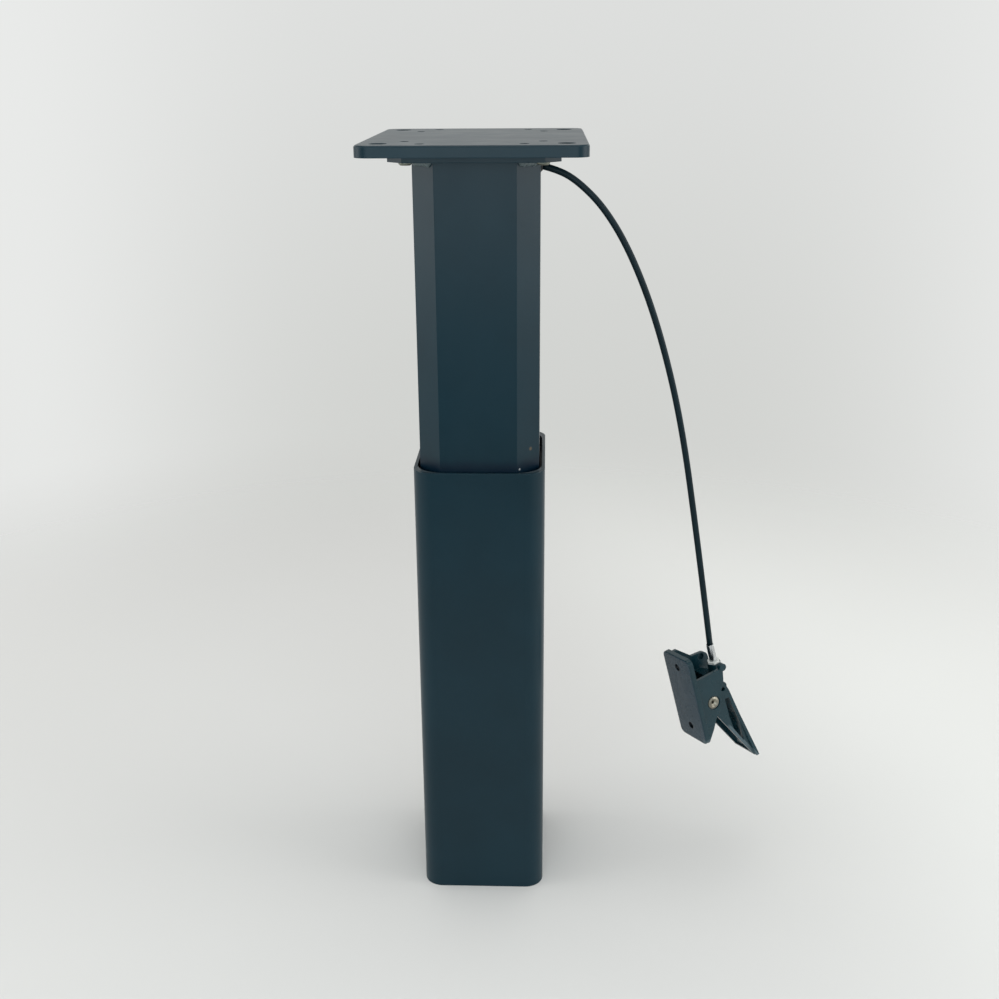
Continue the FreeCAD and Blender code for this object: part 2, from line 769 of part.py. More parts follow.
def release_lever():
    """Bell crank: the cable pulls the fork over, and the nose presses the release pin."""
    body = new_body("release_lever")
    arm = new_sketch(body, "XZ_Plane")
    add_outline(arm, [
        ("0", "-sheet.lever_hub / 4"),
        ("sheet.pivot_offset", "sheet.nose_rise"),
        ("sheet.pivot_offset", "sheet.nose_rise + sheet.nose_dia / 2"),
        ("sheet.fork_width / 2", "sheet.lever_hub / 2"),
        ("sheet.fork_width / 2", "sheet.fork_height"),
        ("-sheet.fork_width / 2", "sheet.fork_height"),
        ("-sheet.fork_width / 2", "sheet.lever_hub / 4"),
    ])
    pad(body, arm, "sheet.lever_thick", symmetric=True)
    for diameter, x, z in (
        ("sheet.lever_hub", "0", "0"),
        ("sheet.nose_dia", "sheet.pivot_offset", "sheet.nose_rise"),
    ):
        disc = new_sketch(body, "XZ_Plane")
        add_circle(disc, diameter, x, z)
        pad(body, disc, "sheet.lever_thick", symmetric=True)
    bore = new_sketch(body, "XZ_Plane")
    add_circle(bore, "sheet.pivot_pin_dia + sheet.hinge_fit")
    pocket(body, bore, "sheet.lever_thick", symmetric=True)
    fork = new_sketch(body, "XZ_Plane")
    half = "sheet.fork_slot / 2"
    add_outline(fork, [
        (f"-{half}", "sheet.fork_floor"), (half, "sheet.fork_floor"),
        (half, "sheet.fork_height"), (f"-{half}", "sheet.fork_height"),
    ])
    pocket(body, fork, "sheet.lever_thick", symmetric=True)
    slit = new_sketch(body, "XY_Plane", "sheet.fork_height")
    add_outline(slit, [
        ("0", "-sheet.wire_bore / 2"), ("sheet.fork_width / 2", "-sheet.wire_bore / 2"),
        ("sheet.fork_width / 2", "sheet.wire_bore / 2"), ("0", "sheet.wire_bore / 2"),
    ])
    pocket(body, slit, "sheet.fork_height - sheet.fork_floor")
    place(body, "-sheet.pivot_offset", "0", PIVOT)


def release_pin():
    """Push pin through the hollow rod, with the valve poppet at its lower end."""
    poppet_top = "-sheet.poppet_gap"
    top = f"({PIVOT} + sheet.nose_rise - sheet.nose_dia / 2 - sheet.nose_gap - {PISTON_BOTTOM})"
    body = turned("release_pin", [
        ("0", f"{poppet_top} - sheet.poppet_height"),
        ("sheet.poppet_dia / 2", f"{poppet_top} - sheet.poppet_height"),
        ("sheet.poppet_dia / 2", poppet_top),
        ("sheet.pin_dia / 2", poppet_top),
        ("sheet.pin_dia / 2", top), ("0", top),
    ])
    place(body, z=PISTON_BOTTOM)


# Release cable

def lay_along_x(body, x):
    """Turn a body made about Z so that its axis runs along +X at the height of the outlet."""
    body.Placement.Rotation = Rotation(Vector(0, 1, 0), 90)
    place(body, x, "0", OUTLET)


def cable_inside():
    """The cable's end in the release head, its short sheath and the grommet in the tube."""
    outer_face = "sheet.inner_width / 2 + sheet.grommet_lip"
    seat = "(sheet.head_width / 2 - sheet.ferrule_seat)"
    cup = "(sheet.ferrule_length - sheet.ferrule_cup)"
    ferrule = turned("inner_ferrule", [
        ("sheet.wire_bore / 2", "0"), ("sheet.ferrule_dia / 2", "0"),
        ("sheet.ferrule_dia / 2", "sheet.ferrule_length"),
        ("sheet.sheath_dia / 2", "sheet.ferrule_length"),
        ("sheet.sheath_dia / 2", cup), ("sheet.wire_bore / 2", cup),
    ])
    lay_along_x(ferrule, seat)

    sheath = doc.addObject("Part::Cylinder", "inner_sheath_rod")
    sheath.setExpression("Radius", "sheet.sheath_dia / 2")
    sheath.setExpression("Height", f"{outer_face} - {seat} - {cup}")
    lay_along_x(finish(sheath, "inner_sheath"), f"{seat} + {cup}")

    wall = "(sheet.grommet_lip + sheet.inner_wall)"
    grommet = turned("cable_grommet", [
        ("sheet.sheath_dia / 2", "0"), ("sheet.grommet_dia / 2", "0"),
        ("sheet.grommet_dia / 2", "sheet.grommet_lip"), ("sheet.grommet_neck / 2", "sheet.grommet_lip"),
        ("sheet.grommet_neck / 2", wall), ("sheet.grommet_dia / 2", wall),
        ("sheet.sheath_dia / 2 + sheet.grommet_nose", f"{wall} + sheet.grommet_lip"),
        ("sheet.sheath_dia / 2", f"{wall} + sheet.grommet_lip"),
    ])
    lay_along_x(grommet, "sheet.inner_width / 2 - sheet.inner_wall - sheet.grommet_lip")


def release_wire():
    """Wire end in the release head: a barrel nipple across the fork and the wire it holds."""
    body = new_body("release_wire")
    barrel = new_sketch(body, "XZ_Plane")
    add_circle(barrel, "sheet.nipple_dia")
    pad(body, barrel, "sheet.nipple_length", symmetric=True)
    wire = new_sketch(body, "YZ_Plane")
    add_circle(wire, "sheet.wire_dia")
    pad(body, wire, "sheet.pivot_offset + sheet.head_width / 2 - sheet.ferrule_seat / 2")
    place(body, "-sheet.pivot_offset", "0", OUTLET)


def rounded_route(points):
    """Straight runs joined by arcs as large as their runs allow, as one wire."""
    edges = []
    start = points[0]
    for before, corner, after in zip(points, points[1:], points[2:]):
        arriving = corner - before
        leaving = after - corner
        half_turn = arriving.getAngle(leaving) / 2
        trim = ARC_SHARE * min(arriving.Length, leaving.Length)
        radius = trim / math.tan(half_turn)
        print(f"cable turn of {math.degrees(2 * half_turn):.1f} degrees, radius {radius:.1f} mm")
        arriving.normalize()
        leaving.normalize()
        arc_start = corner - arriving * trim
        arc_end = corner + leaving * trim
        inward = leaving - arriving
        inward.normalize()
        arc_middle = corner + inward * (radius / math.cos(half_turn) - radius)
        edges.append(Part.LineSegment(start, arc_start).toShape())
        edges.append(Part.Arc(arc_start, arc_middle, arc_end).toShape())
        start = arc_end
    edges.append(Part.LineSegment(start, points[-1]).toShape())
    return Part.Wire(edges)


def cable_sheath():
    """The free cable between the outlet and the handle."""
    route = rounded_route([Vector(x, 0, z) for x, z in CABLE_ROUTE])
    first = route.Edges[0]
    radius = value("sheet.sheath_dia / 2")
    section = Part.Wire(Part.makeCircle(radius, first.valueAt(first.FirstParameter), direction(first)))
    tube = route.makePipeShell([section], True, False)
    plain_volume = math.pi * radius ** 2 * route.Length
    print(f"cable {route.Length:.1f} mm long, volume ratio {tube.Volume / plain_volume:.4f}")
    part = doc.addObject("Part::Feature", "cable_sheath_tube")
    part.Shape = tube
    finish(part, "cable_sheath")


# Release handle, modelled about the axis of its cable end and then hung on the cable

FACE = "(-sheet.face_back)"
FLOOR = "(-sheet.face_back + sheet.handle_plate)"


def handle_frame():
    """Where the handle hangs: turned about its own length, then tilted with the cable end."""
    tilt = Rotation(Vector(0, 1, 0), -value("sheet.handle_tilt"))
    turn = Rotation(Vector(0, 0, 1), value("sheet.handle_turn"))
    return Placement(Vector(value("sheet.handle_x"), 0, value("sheet.handle_z")), tilt * turn)


def handle_bracket():
    """Screw-on plate with two cheeks for the lever and a post that stops the cable sheath."""
    body = new_body("handle_bracket")
    plate = new_sketch(body, "YZ_Plane", FACE)
    half = "sheet.handle_width / 2"
    add_outline(plate, [
        (f"-{half}", "-sheet.handle_bottom"), (half, "-sheet.handle_bottom"),
        (half, "sheet.handle_top"), (f"-{half}", "sheet.handle_top"),
    ])
    pad(body, plate, "sheet.handle_plate")
    dress(body, "Fillet", lambda edge: abs(direction(edge).x) > 0.999, "sheet.handle_round")
    dress(body, "Fillet", lambda edge: edge.BoundBox.XMax < value(FACE) + 0.01, "sheet.handle_edge")

    root = f"({FACE} + sheet.handle_plate / 2)"
    cheeks = new_sketch(body, "XZ_Plane")
    add_outline(cheeks, [
        (root, "sheet.cheek_top"),
        (root, "-sheet.handle_bottom + sheet.handle_edge"),
        (FLOOR, "-sheet.handle_bottom + sheet.handle_edge"),
        ("-sheet.pivot_back - sheet.cheek_foot_back", "-sheet.pivot_down - sheet.cheek_foot_down"),
        ("-sheet.pivot_back - sheet.cheek_notch_back", "-sheet.pivot_down - sheet.cheek_notch_down"),
        ("-sheet.pivot_back + sheet.cheek_lip_out", "-sheet.pivot_down - sheet.cheek_lip_down"),
        ("-sheet.pivot_back + sheet.cheek_front_out", "-sheet.pivot_down + sheet.cheek_front_up"),
        ("-sheet.pivot_back + sheet.cheek_neck_out", "-sheet.pivot_down + sheet.cheek_neck_up"),
        ("-sheet.boss_back", "sheet.cheek_top"),
    ])
    pad(body, cheeks, "sheet.cheek_span", symmetric=True)

    gusset = new_sketch(body, "XZ_Plane", "-sheet.cheek_span / 2")
    ear_radius = "sheet.ear_dia / 2"
    add_outline(gusset, [
        (root, "-sheet.ear_down"), ("-sheet.ear_back", "-sheet.ear_down"),
        ("-sheet.ear_back", f"{ear_radius} - sheet.ear_down"), ("-sheet.gusset_back", "sheet.gusset_level"),
        (f"{FLOOR} + sheet.gusset_foot", "sheet.gusset_top"), (root, "sheet.gusset_top"),
    ])
    pad(body, gusset, "sheet.cheek_thick")

    inside = new_sketch(body, "XY_Plane", "-sheet.handle_bottom")
    gap = "(sheet.cheek_span / 2 - sheet.cheek_thick)"
    clear = "sheet.lever_tip_out"
    add_outline(inside, [(FLOOR, f"-{gap}"), (clear, f"-{gap}"), (clear, gap), (FLOOR, gap)])
    pocket(body, inside, "sheet.handle_bottom + sheet.handle_top", back=True)

    near_face = "sheet.cheek_span / 2"
    far_face = "-sheet.cheek_span / 2"
    near_boss = new_sketch(body, "XZ_Plane", f"{near_face} + sheet.near_boss_rise")
    add_circle(near_boss, "sheet.near_boss_dia", "-sheet.boss_back")
    pad(body, near_boss, "sheet.near_boss_rise + sheet.cheek_thick", back=True)
    far_ear = new_sketch(body, "XZ_Plane", far_face)
    add_circle(far_ear, "sheet.ear_dia", "-sheet.ear_back", "-sheet.ear_down")
    pad(body, far_ear, "sheet.cheek_thick")
    chin = new_sketch(body, "XZ_Plane", far_face)
    add_outline(chin, [
        ("-sheet.gusset_back", "-sheet.ear_down"), (f"-sheet.ear_back + {ear_radius}", "-sheet.ear_down"),
        (f"-sheet.ear_back + {ear_radius}", "-sheet.ear_chin"),
        ("-sheet.chin_back", "-sheet.chin_down"), ("-sheet.gusset_back", "-sheet.chin_down"),
    ])
    pad(body, chin, "sheet.cheek_thick")
    boss_hole = new_sketch(body, "XZ_Plane", f"{far_face} + sheet.cheek_thick")
    add_circle(boss_hole, "sheet.boss_hole_dia", "-sheet.boss_back")
    pocket(body, boss_hole, "sheet.boss_hole_depth")

    under_post = "sheet.post_top - sheet.post_length"
    post = new_sketch(body, "XY_Plane", under_post)
    add_circle(post, "sheet.post_dia")
    pad(body, post, "sheet.post_length")
    bridge = new_sketch(body, "XY_Plane", under_post)
    reach = "(sheet.cheek_span - sheet.cheek_thick) / 2"
    waist = "sheet.bridge_waist / 2"
    add_outline(bridge, [
        ("-sheet.bridge_back", f"-{reach}"), ("-sheet.bridge_front", f"-{reach}"),
        ("-sheet.bridge_root", f"-{waist}"), ("-sheet.bridge_root", waist),
        ("-sheet.bridge_front", reach), ("-sheet.bridge_back", reach),
    ])
    pad(body, bridge, "sheet.bridge_thick")
    stem_hole = new_sketch(body, "XY_Plane", under_post)
    add_circle(stem_hole, "sheet.adjuster_stem")
    pocket(body, stem_hole, "sheet.post_length", back=True)

    for face, back in ((near_face, False), (far_face, True)):
        recess = new_sketch(body, "XZ_Plane", face)
        add_circle(recess, "sheet.recess_dia", "-sheet.pivot_back", "-sheet.pivot_down")
        pocket(body, recess, "sheet.recess_depth", back=back)
    rivet_hole = new_sketch(body, "XZ_Plane")
    add_circle(rivet_hole, "sheet.rivet_dia", "-sheet.pivot_back", "-sheet.pivot_down")
    pocket(body, rivet_hole, "sheet.cheek_span", symmetric=True)

    screw_holes = new_sketch(body, "YZ_Plane", FACE)
    add_circle(screw_holes, "sheet.handle_hole_dia", y="sheet.handle_hole_top")
    add_circle(screw_holes, "sheet.handle_hole_dia", y="sheet.handle_hole_top - sheet.handle_hole_pitch")
    pocket(body, screw_holes, "sheet.handle_plate", back=True)
    body.Placement = handle_frame()


def across_handle(body, a, b, c):
    """Turn a body made about Z so that its axis runs across the handle, at a point of it."""
    lying = Rotation(Vector(1, 0, 0), -90)
    spot = Vector(value(a), value(b), value(c))
    body.Placement = handle_frame() * Placement(spot, lying)


def pivot_rivet():
    """Tubular rivet that the hand lever turns on, with a dished head in each cheek's recess."""
    grip = "(sheet.cheek_span - 2 * sheet.recess_depth)"
    body = turned("pivot_rivet", [
        ("sheet.rivet_bore / 2", "sheet.rivet_dish"),
        ("sheet.rivet_crest / 2", "-sheet.rivet_rise"),
        ("sheet.rivet_head / 2", "-sheet.rivet_rise / 2"),
        ("sheet.rivet_head / 2", "0"),
        ("sheet.rivet_dia / 2", "0"),
        ("sheet.rivet_dia / 2", grip),
        ("sheet.rivet_head / 2", grip),
        ("sheet.rivet_head / 2", f"{grip} + sheet.rivet_rise / 2"),
        ("sheet.rivet_crest / 2", f"{grip} + sheet.rivet_rise"),
        ("sheet.rivet_bore / 2", f"{grip} - sheet.rivet_dish"),
    ])
    across_handle(body, "-sheet.pivot_back", f"-{grip} / 2", "-sheet.pivot_down")


def adjuster():
    """End of the sheath: a cupped ferrule whose stem goes through the post, and its collar."""
    stem = "sheet.post_top - sheet.post_length"
    shoulder = "(sheet.post_top + sheet.collar_height)"
    cup = "(sheet.adjuster_top - sheet.adjuster_cup)"
    bore = "sheet.adjuster_bore / 2"
    mouth = "sheet.adjuster_cup_dia / 2"
    ferrule = turned("adjuster_ferrule", [
        (bore, stem), ("sheet.adjuster_stem / 2", stem), ("sheet.adjuster_stem / 2", shoulder),
        ("sheet.adjuster_dia / 2", shoulder), ("sheet.adjuster_dia / 2", "sheet.adjuster_top"),
        (mouth, "sheet.adjuster_top"), (mouth, cup), (bore, cup),
    ])
    ferrule.Placement = handle_frame()

    collar = new_body("adjuster_nut")
    sides = new_sketch(collar, "XY_Plane", "sheet.post_top")
    add_hexagon(sides, "sheet.collar_span")
    pad(collar, sides, "sheet.collar_height")
    hole = new_sketch(collar, "XY_Plane", "sheet.post_top")
    add_circle(hole, "sheet.adjuster_stem")
    pocket(collar, hole, back=True)
    collar.Placement = handle_frame()


def face_out(down):
    """How far out the lever's finger face is, at a distance down from the cheek bosses."""
    run = "(sheet.lever_tip - sheet.lever_nipple_down)"
    rise = "(sheet.lever_tip_out - sheet.lever_shoulder_out)"
    return f"(sheet.lever_shoulder_out + {rise} * (({down}) - sheet.lever_nipple_down) / {run})"


def hand_lever():
    """Hollow paddle between the cheeks: tapering walls, one with a window, a finger face, wings and a rib."""
    body = new_body("hand_lever")
    pivot_a = "-sheet.pivot_back"
    pivot_c = "-sheet.pivot_down"
    hub = "sheet.lever_hub_dia / 2"
    sides = new_sketch(body, "XZ_Plane")
    add_outline(sides, [
        (f"{pivot_a} + {hub} * cos(sheet.lever_hub_angle * 1 deg)",
         f"{pivot_c} - {hub} * sin(sheet.lever_hub_angle * 1 deg)"),
        ("-sheet.lever_heel_back", "-sheet.lever_heel_down"),
        (f"{face_out('sheet.lever_tip')} - sheet.lever_tip_thick", "-sheet.lever_tip"),
        (face_out("sheet.lever_tip"), "-sheet.lever_tip"),
        ("sheet.lever_shoulder_out", "-sheet.lever_nipple_down"),
        ("sheet.lever_shoulder_out - sheet.lever_brow", "-sheet.lever_top"),
        ("sheet.lever_shoulder_out - sheet.lever_brow_back", "-sheet.lever_top"),
        (pivot_a, f"{pivot_c} + {hub}"),
    ])
    pad(body, sides, "sheet.lever_width", symmetric=True)

    wings = new_sketch(body, "XZ_Plane")
    add_outline(wings, [
        (face_out("sheet.lever_wing_top"), "-sheet.lever_wing_top"),
        (face_out("sheet.lever_tip"), "-sheet.lever_tip"),
        (f"{face_out('sheet.lever_tip')} - sheet.lever_skin", "-sheet.lever_tip"),
        (f"{face_out('sheet.lever_wing_top')} - sheet.lever_skin", "-sheet.lever_wing_top"),
    ])
    pad(body, wings, "sheet.lever_wing_width", symmetric=True)
    flare = new_sketch(body, "YZ_Plane")
    for sign in ("-", ""):
        add_outline(flare, [
            (f"{sign}sheet.lever_width / 2", "-sheet.lever_wing_top"),
            (f"{sign}sheet.lever_wing_width / 2", "-sheet.lever_wing_top"),
            (f"{sign}sheet.lever_wing_width / 2", "-sheet.lever_tip + sheet.lever_skin"),
        ])
    pocket(body, flare, "2 * sheet.lever_tip", symmetric=True)

    hollow = new_sketch(body, "XZ_Plane")
    skin_end = "(sheet.lever_tip - sheet.lever_wall)"
    open_top = "(-sheet.lever_top + sheet.lever_wall)"
    add_outline(hollow, [
        ("sheet.lever_shoulder_out - sheet.lever_skin - sheet.lever_brow", open_top),
        ("sheet.lever_shoulder_out - sheet.lever_skin", "-sheet.lever_nipple_down"),
        (f"{face_out(skin_end)} - sheet.lever_skin", f"-{skin_end}"),
        ("-sheet.face_back", f"-{skin_end}"),
        ("-sheet.face_back", open_top),
    ])
    pocket(body, hollow, "sheet.lever_width - 2 * sheet.lever_wall", symmetric=True)

    near_wall = "sheet.lever_width / 2"
    window = new_sketch(body, "XZ_Plane", near_wall)
    window_edge = f"({face_out('sheet.window_top')} - sheet.window_rim)"
    add_outline(window, [
        (window_edge, "-sheet.window_top"),
        (f"{face_out('sheet.window_knee')} - sheet.window_rim", "-sheet.window_knee"),
        (f"{face_out('sheet.window_tip')} - sheet.window_tip_in", "-sheet.window_tip"),
        ("-sheet.window_heel_back", "-sheet.window_heel_down"),
        ("-sheet.window_belly_back", "-sheet.window_belly_down"),
        (f"{window_edge} - sheet.window_wide", "-sheet.window_top"),
    ])
    pocket(body, window, "sheet.lever_wall")
    entry = new_sketch(body, "XZ_Plane", near_wall)
    add_circle(entry, "sheet.entry_dia", "-sheet.entry_back", "-sheet.entry_down")
    pocket(body, entry, "sheet.lever_wall")

    rib = new_sketch(body, "XZ_Plane")
    rib_top = "(sheet.lever_wing_top - sheet.rib_rise)"
    add_outline(rib, [
        (f"{face_out(rib_top)} - sheet.lever_skin / 2", f"-{rib_top}"),
        (f"{face_out(skin_end)} - sheet.lever_skin / 2", f"-{skin_end}"),
        (f"{face_out(skin_end)} - sheet.lever_skin", f"-{skin_end}"),
        (f"{face_out(rib_top)} - sheet.lever_skin - sheet.rib_depth", f"-{rib_top} - sheet.rib_ramp"),
    ])
    pad(body, rib, "sheet.rib_thick", symmetric=True)

    for diameter, width, a, c in (
        ("sheet.lever_hub_dia", "sheet.lever_width", pivot_a, pivot_c),
        ("sheet.lug_dia", "sheet.lug_width", "0", "-sheet.lever_nipple_down"),
    ):
        hub_or_lug = new_sketch(body, "XZ_Plane")
        add_circle(hub_or_lug, diameter, a, c)
        pad(body, hub_or_lug, width, symmetric=True)
    bores = new_sketch(body, "XZ_Plane")
    add_circle(bores, "sheet.rivet_dia + sheet.hinge_fit", pivot_a, pivot_c)
    pocket(body, bores, "sheet.lever_width", symmetric=True)
    seat = new_sketch(body, "XZ_Plane")
    add_circle(seat, "sheet.lever_nipple_dia", "0", "-sheet.lever_nipple_down")
    pocket(body, seat, "sheet.lug_width", symmetric=True)
    wire_way = new_sketch(body, "XY_Plane", "-sheet.lever_nipple_down")
    slit = "sheet.wire_bore / 2"
    inner_end = f"(-{slit} - sheet.wire_swing)"
    add_outline(wire_way, [
        (inner_end, f"-{slit}"), ("sheet.lug_dia", f"-{slit}"), ("sheet.lug_dia", slit), (inner_end, slit),
    ])
    pocket(body, wire_way, "sheet.lug_dia", back=True)
    body.Placement = handle_frame()


def wire_nipple():
    """Barrel in the lever's lug that the wire ends in, slotted for the wire."""
    body = new_body("wire_nipple")
    rod = new_sketch(body, "XY_Plane")
    add_circle(rod, "sheet.lever_nipple_dia")
    pad(body, rod, "sheet.lug_width")
    slot = new_sketch(body, "XZ_Plane")
    middle = "sheet.lug_width / 2"
    across = "sheet.wire_bore / 2"
    add_outline(slot, [
        (f"-{across}", f"{middle} - {across}"), (across, f"{middle} - {across}"),
        (across, f"{middle} + {across}"), (f"-{across}", f"{middle} + {across}"),
    ])
    pocket(body, slot, "2 * sheet.lever_nipple_dia", symmetric=True)
    across_handle(body, "0", "-sheet.lug_width / 2", "-sheet.lever_nipple_down")


def lever_wire():
    """Wire end in the handle, from the nipple up into the adjuster."""
    wire = doc.addObject("Part::Cylinder", "lever_wire_rod")
    wire.setExpression("Radius", "sheet.wire_dia / 2")
    cup = "(sheet.adjuster_top - sheet.adjuster_cup)"
    wire.setExpression("Height", f"sheet.lever_nipple_down + {cup} - sheet.wire_end_gap")
    spot = Vector(0, 0, -value("sheet.lever_nipple_down"))
    wire.Placement = handle_frame() * Placement(spot, Rotation())
    finish(wire, "lever_wire")


def write_parts():
    """Check every object and write each sub-part to its own file."""
    doc.recompute()
    for item in doc.Objects:
        if "Invalid" in item.State or "Error" in item.State:
            raise RuntimeError(f"{item.Name} ({item.Label}) failed: {item.State}")
    os.makedirs("parts", exist_ok=True)
    for part in sub_parts:
        shape = part.Shape
        if shape.isNull() or not shape.isValid() or shape.Volume <= 0:
            raise RuntimeError(f"{part.Label} has no valid solid")
        shape.exportStep(f"parts/{part.Label}.step")
        print(f"{part.Label}: {len(shape.Solids)} solid(s), {shape.Volume:.0f} mm3")


for build in (
    outer_tube, base_plate, base_screw, gas_cylinder, cylinder_plug, rod_guide_and_seal, upper_guide_bush,
    inner_tube, lower_guide_shoe, flange_plate, weld_beads, top_plate, flange_screws,
    rod_and_piston, release_head, head_screws, release_pivot_pin, release_lever, release_pin,
    cable_inside, release_wire, cable_sheath, handle_bracket, pivot_rivet, adjuster,
    hand_lever, wire_nipple, lever_wire,
):
    build()
write_parts()
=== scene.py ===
import json
import math

import bpy
from mathutils import Matrix, Vector, noise


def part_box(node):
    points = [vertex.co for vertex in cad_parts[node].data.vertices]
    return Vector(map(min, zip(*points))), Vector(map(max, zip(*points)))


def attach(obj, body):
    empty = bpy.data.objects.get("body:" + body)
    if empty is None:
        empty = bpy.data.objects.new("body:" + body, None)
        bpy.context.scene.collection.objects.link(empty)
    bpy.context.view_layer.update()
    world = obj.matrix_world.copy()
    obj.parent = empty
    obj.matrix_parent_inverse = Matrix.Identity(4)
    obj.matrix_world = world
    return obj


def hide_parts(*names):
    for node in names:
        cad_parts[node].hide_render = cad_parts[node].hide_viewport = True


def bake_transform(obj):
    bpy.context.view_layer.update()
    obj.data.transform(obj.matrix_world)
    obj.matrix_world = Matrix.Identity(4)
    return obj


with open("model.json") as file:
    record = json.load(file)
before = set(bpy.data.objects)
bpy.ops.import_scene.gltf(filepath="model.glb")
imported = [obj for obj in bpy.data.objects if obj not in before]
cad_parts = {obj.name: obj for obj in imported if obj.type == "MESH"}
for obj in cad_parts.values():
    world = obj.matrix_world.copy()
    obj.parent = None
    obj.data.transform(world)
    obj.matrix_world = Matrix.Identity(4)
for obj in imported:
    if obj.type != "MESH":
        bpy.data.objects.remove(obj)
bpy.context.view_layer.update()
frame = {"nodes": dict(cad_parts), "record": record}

nodes = frame["nodes"]
scene = bpy.context.scene

# The photograph's frame and the camera that was fitted to it
IMAGE_PIXELS = 999
FOCAL_PIXELS = 1233.3
SENSOR_MM = 36.0
CAMERA_PLACE = Vector((0.0398, -0.7461, 0.5320))
CAMERA_YAW = math.radians(-2.22)
CAMERA_DOWN = math.radians(19.80)
CAMERA_ROLL = math.radians(-0.39)
CLIP_NEAR = 0.01
CLIP_FAR = 50


def make_camera():
    ahead = Vector((
        math.sin(CAMERA_YAW) * math.cos(CAMERA_DOWN),
        math.cos(CAMERA_YAW) * math.cos(CAMERA_DOWN),
        -math.sin(CAMERA_DOWN),
    ))
    level = Vector((math.cos(CAMERA_YAW), -math.sin(CAMERA_YAW), 0))
    upright = level.cross(ahead)
    right = math.cos(CAMERA_ROLL) * level + math.sin(CAMERA_ROLL) * upright
    up = math.cos(CAMERA_ROLL) * upright - math.sin(CAMERA_ROLL) * level
    data = bpy.data.cameras.new("camera")
    data.sensor_width = SENSOR_MM
    data.lens = SENSOR_MM * FOCAL_PIXELS / IMAGE_PIXELS
    data.clip_start = CLIP_NEAR
    data.clip_end = CLIP_FAR
    camera = bpy.data.objects.new("camera", data)
    turn = Matrix((right, up, -ahead)).transposed().to_4x4()
    camera.matrix_world = Matrix.Translation(CAMERA_PLACE) @ turn
    scene.collection.objects.link(camera)
    scene.camera = camera


# The handle's own frame: out from its mounting face, across it, and along the cable's end
HANDLE_PLACE = Vector((0.1535, 0.0, 0.1499))
HANDLE_LEAN = math.radians(-14.3)
HANDLE_SPIN = math.radians(30)
HANDLE_TURN = Matrix.Rotation(HANDLE_LEAN, 3, "Y") @ Matrix.Rotation(HANDLE_SPIN, 3, "Z")
HANDLE_OUT, HANDLE_ACROSS, HANDLE_ALONG = HANDLE_TURN.col


def on_handle(out, across, along):
    return HANDLE_PLACE + HANDLE_TURN @ Vector((out, across, along))


# What the values of a pattern run to
RISE = (0.0, 1.0)
FALL = (1.0, 0.0)

# The sockets of a colour mix, by number because their names repeat
MIX_FIRST = 6
MIX_SECOND = 7
MIX_RESULT = 2


class Pattern:
    """A node tree with one set of coordinates for its patterns."""

    def __init__(self, tree, coordinates):
        self.tree = tree
        self.place = self.add("TexCoord").outputs[coordinates]

    def add(self, kind):
        return self.tree.nodes.new("ShaderNode" + kind)

    def feed(self, socket, item):
        """Links a node's output to a socket, or sets the socket to a fixed value."""
        if isinstance(item, bpy.types.NodeSocket):
            self.tree.links.new(item, socket)
        else:
            socket.default_value = item

    def noise(self, scale, detail, roughness=0.5, stretch=None):
        """Soft noise, with its scale in waves per metre."""
        node = self.add("TexNoise")
        node.inputs["Scale"].default_value = scale
        node.inputs["Detail"].default_value = detail
        node.inputs["Roughness"].default_value = roughness
        place = self.place
        if stretch:
            mapping = self.add("Mapping")
            mapping.inputs["Scale"].default_value = stretch
            self.feed(mapping.inputs["Vector"], place)
            place = mapping.outputs["Vector"]
        self.feed(node.inputs["Vector"], place)
        return node.outputs["Fac"]

    def fit(self, output, span, to=RISE):
        """Takes a span of an output smoothly to another span."""
        node = self.add("MapRange")
        node.interpolation_type = "SMOOTHSTEP"
        for name, number in zip(("From Min", "From Max", "To Min", "To Max"), (*span, *to)):
            node.inputs[name].default_value = number
        self.feed(node.inputs["Value"], output)
        return node.outputs["Result"]

    def math(self, kind, first, second):
        node = self.add("Math")
        node.operation = kind
        self.feed(node.inputs[0], first)
        self.feed(node.inputs[1], second)
        return node.outputs["Value"]

    def vector(self, kind, first, second=(0, 0, 0)):
        node = self.add("VectorMath")
        node.operation = kind
        self.feed(node.inputs[0], first)
        self.feed(node.inputs[1], second)
        return node.outputs

    def mix(self, share, first, second):
        """Mixes two colours, each an output or three fixed channels."""
        node = self.add("Mix")
        node.data_type = "RGBA"
        self.feed(node.inputs["Factor"], share)
        for number, item in ((MIX_FIRST, first), (MIX_SECOND, second)):
            colour = (*item, 1) if isinstance(item, tuple) else item
            self.feed(node.inputs[number], colour)
        return node.outputs[MIX_RESULT]

    def separate(self):
        """The three coordinates of the place, as outputs of their own."""
        node = self.add("SeparateXYZ")
        self.feed(node.inputs["Vector"], self.place)
        return node.outputs["X"], node.outputs["Y"], node.outputs["Z"]

    def near(self, point, reach):
        """1 within the first reach of a point, fading to 0 at the second."""
        distance = self.vector("DISTANCE", self.place, point)["Value"]
        return self.fit(distance, reach, FALL)

    def below(self, axis, level, fade):
        """1 where the place is below a level along an axis, fading to 0 over a short way."""
        height = self.vector("DOT_PRODUCT", self.place, axis)["Value"]
        return self.fit(height, (level, level + fade), FALL)


# How far the rounded normal agrees with the plain one: on a sharp edge, and on a flat
NORMALS_AGREE = (0.75, 0.995)
BEVEL_SAMPLES = 6


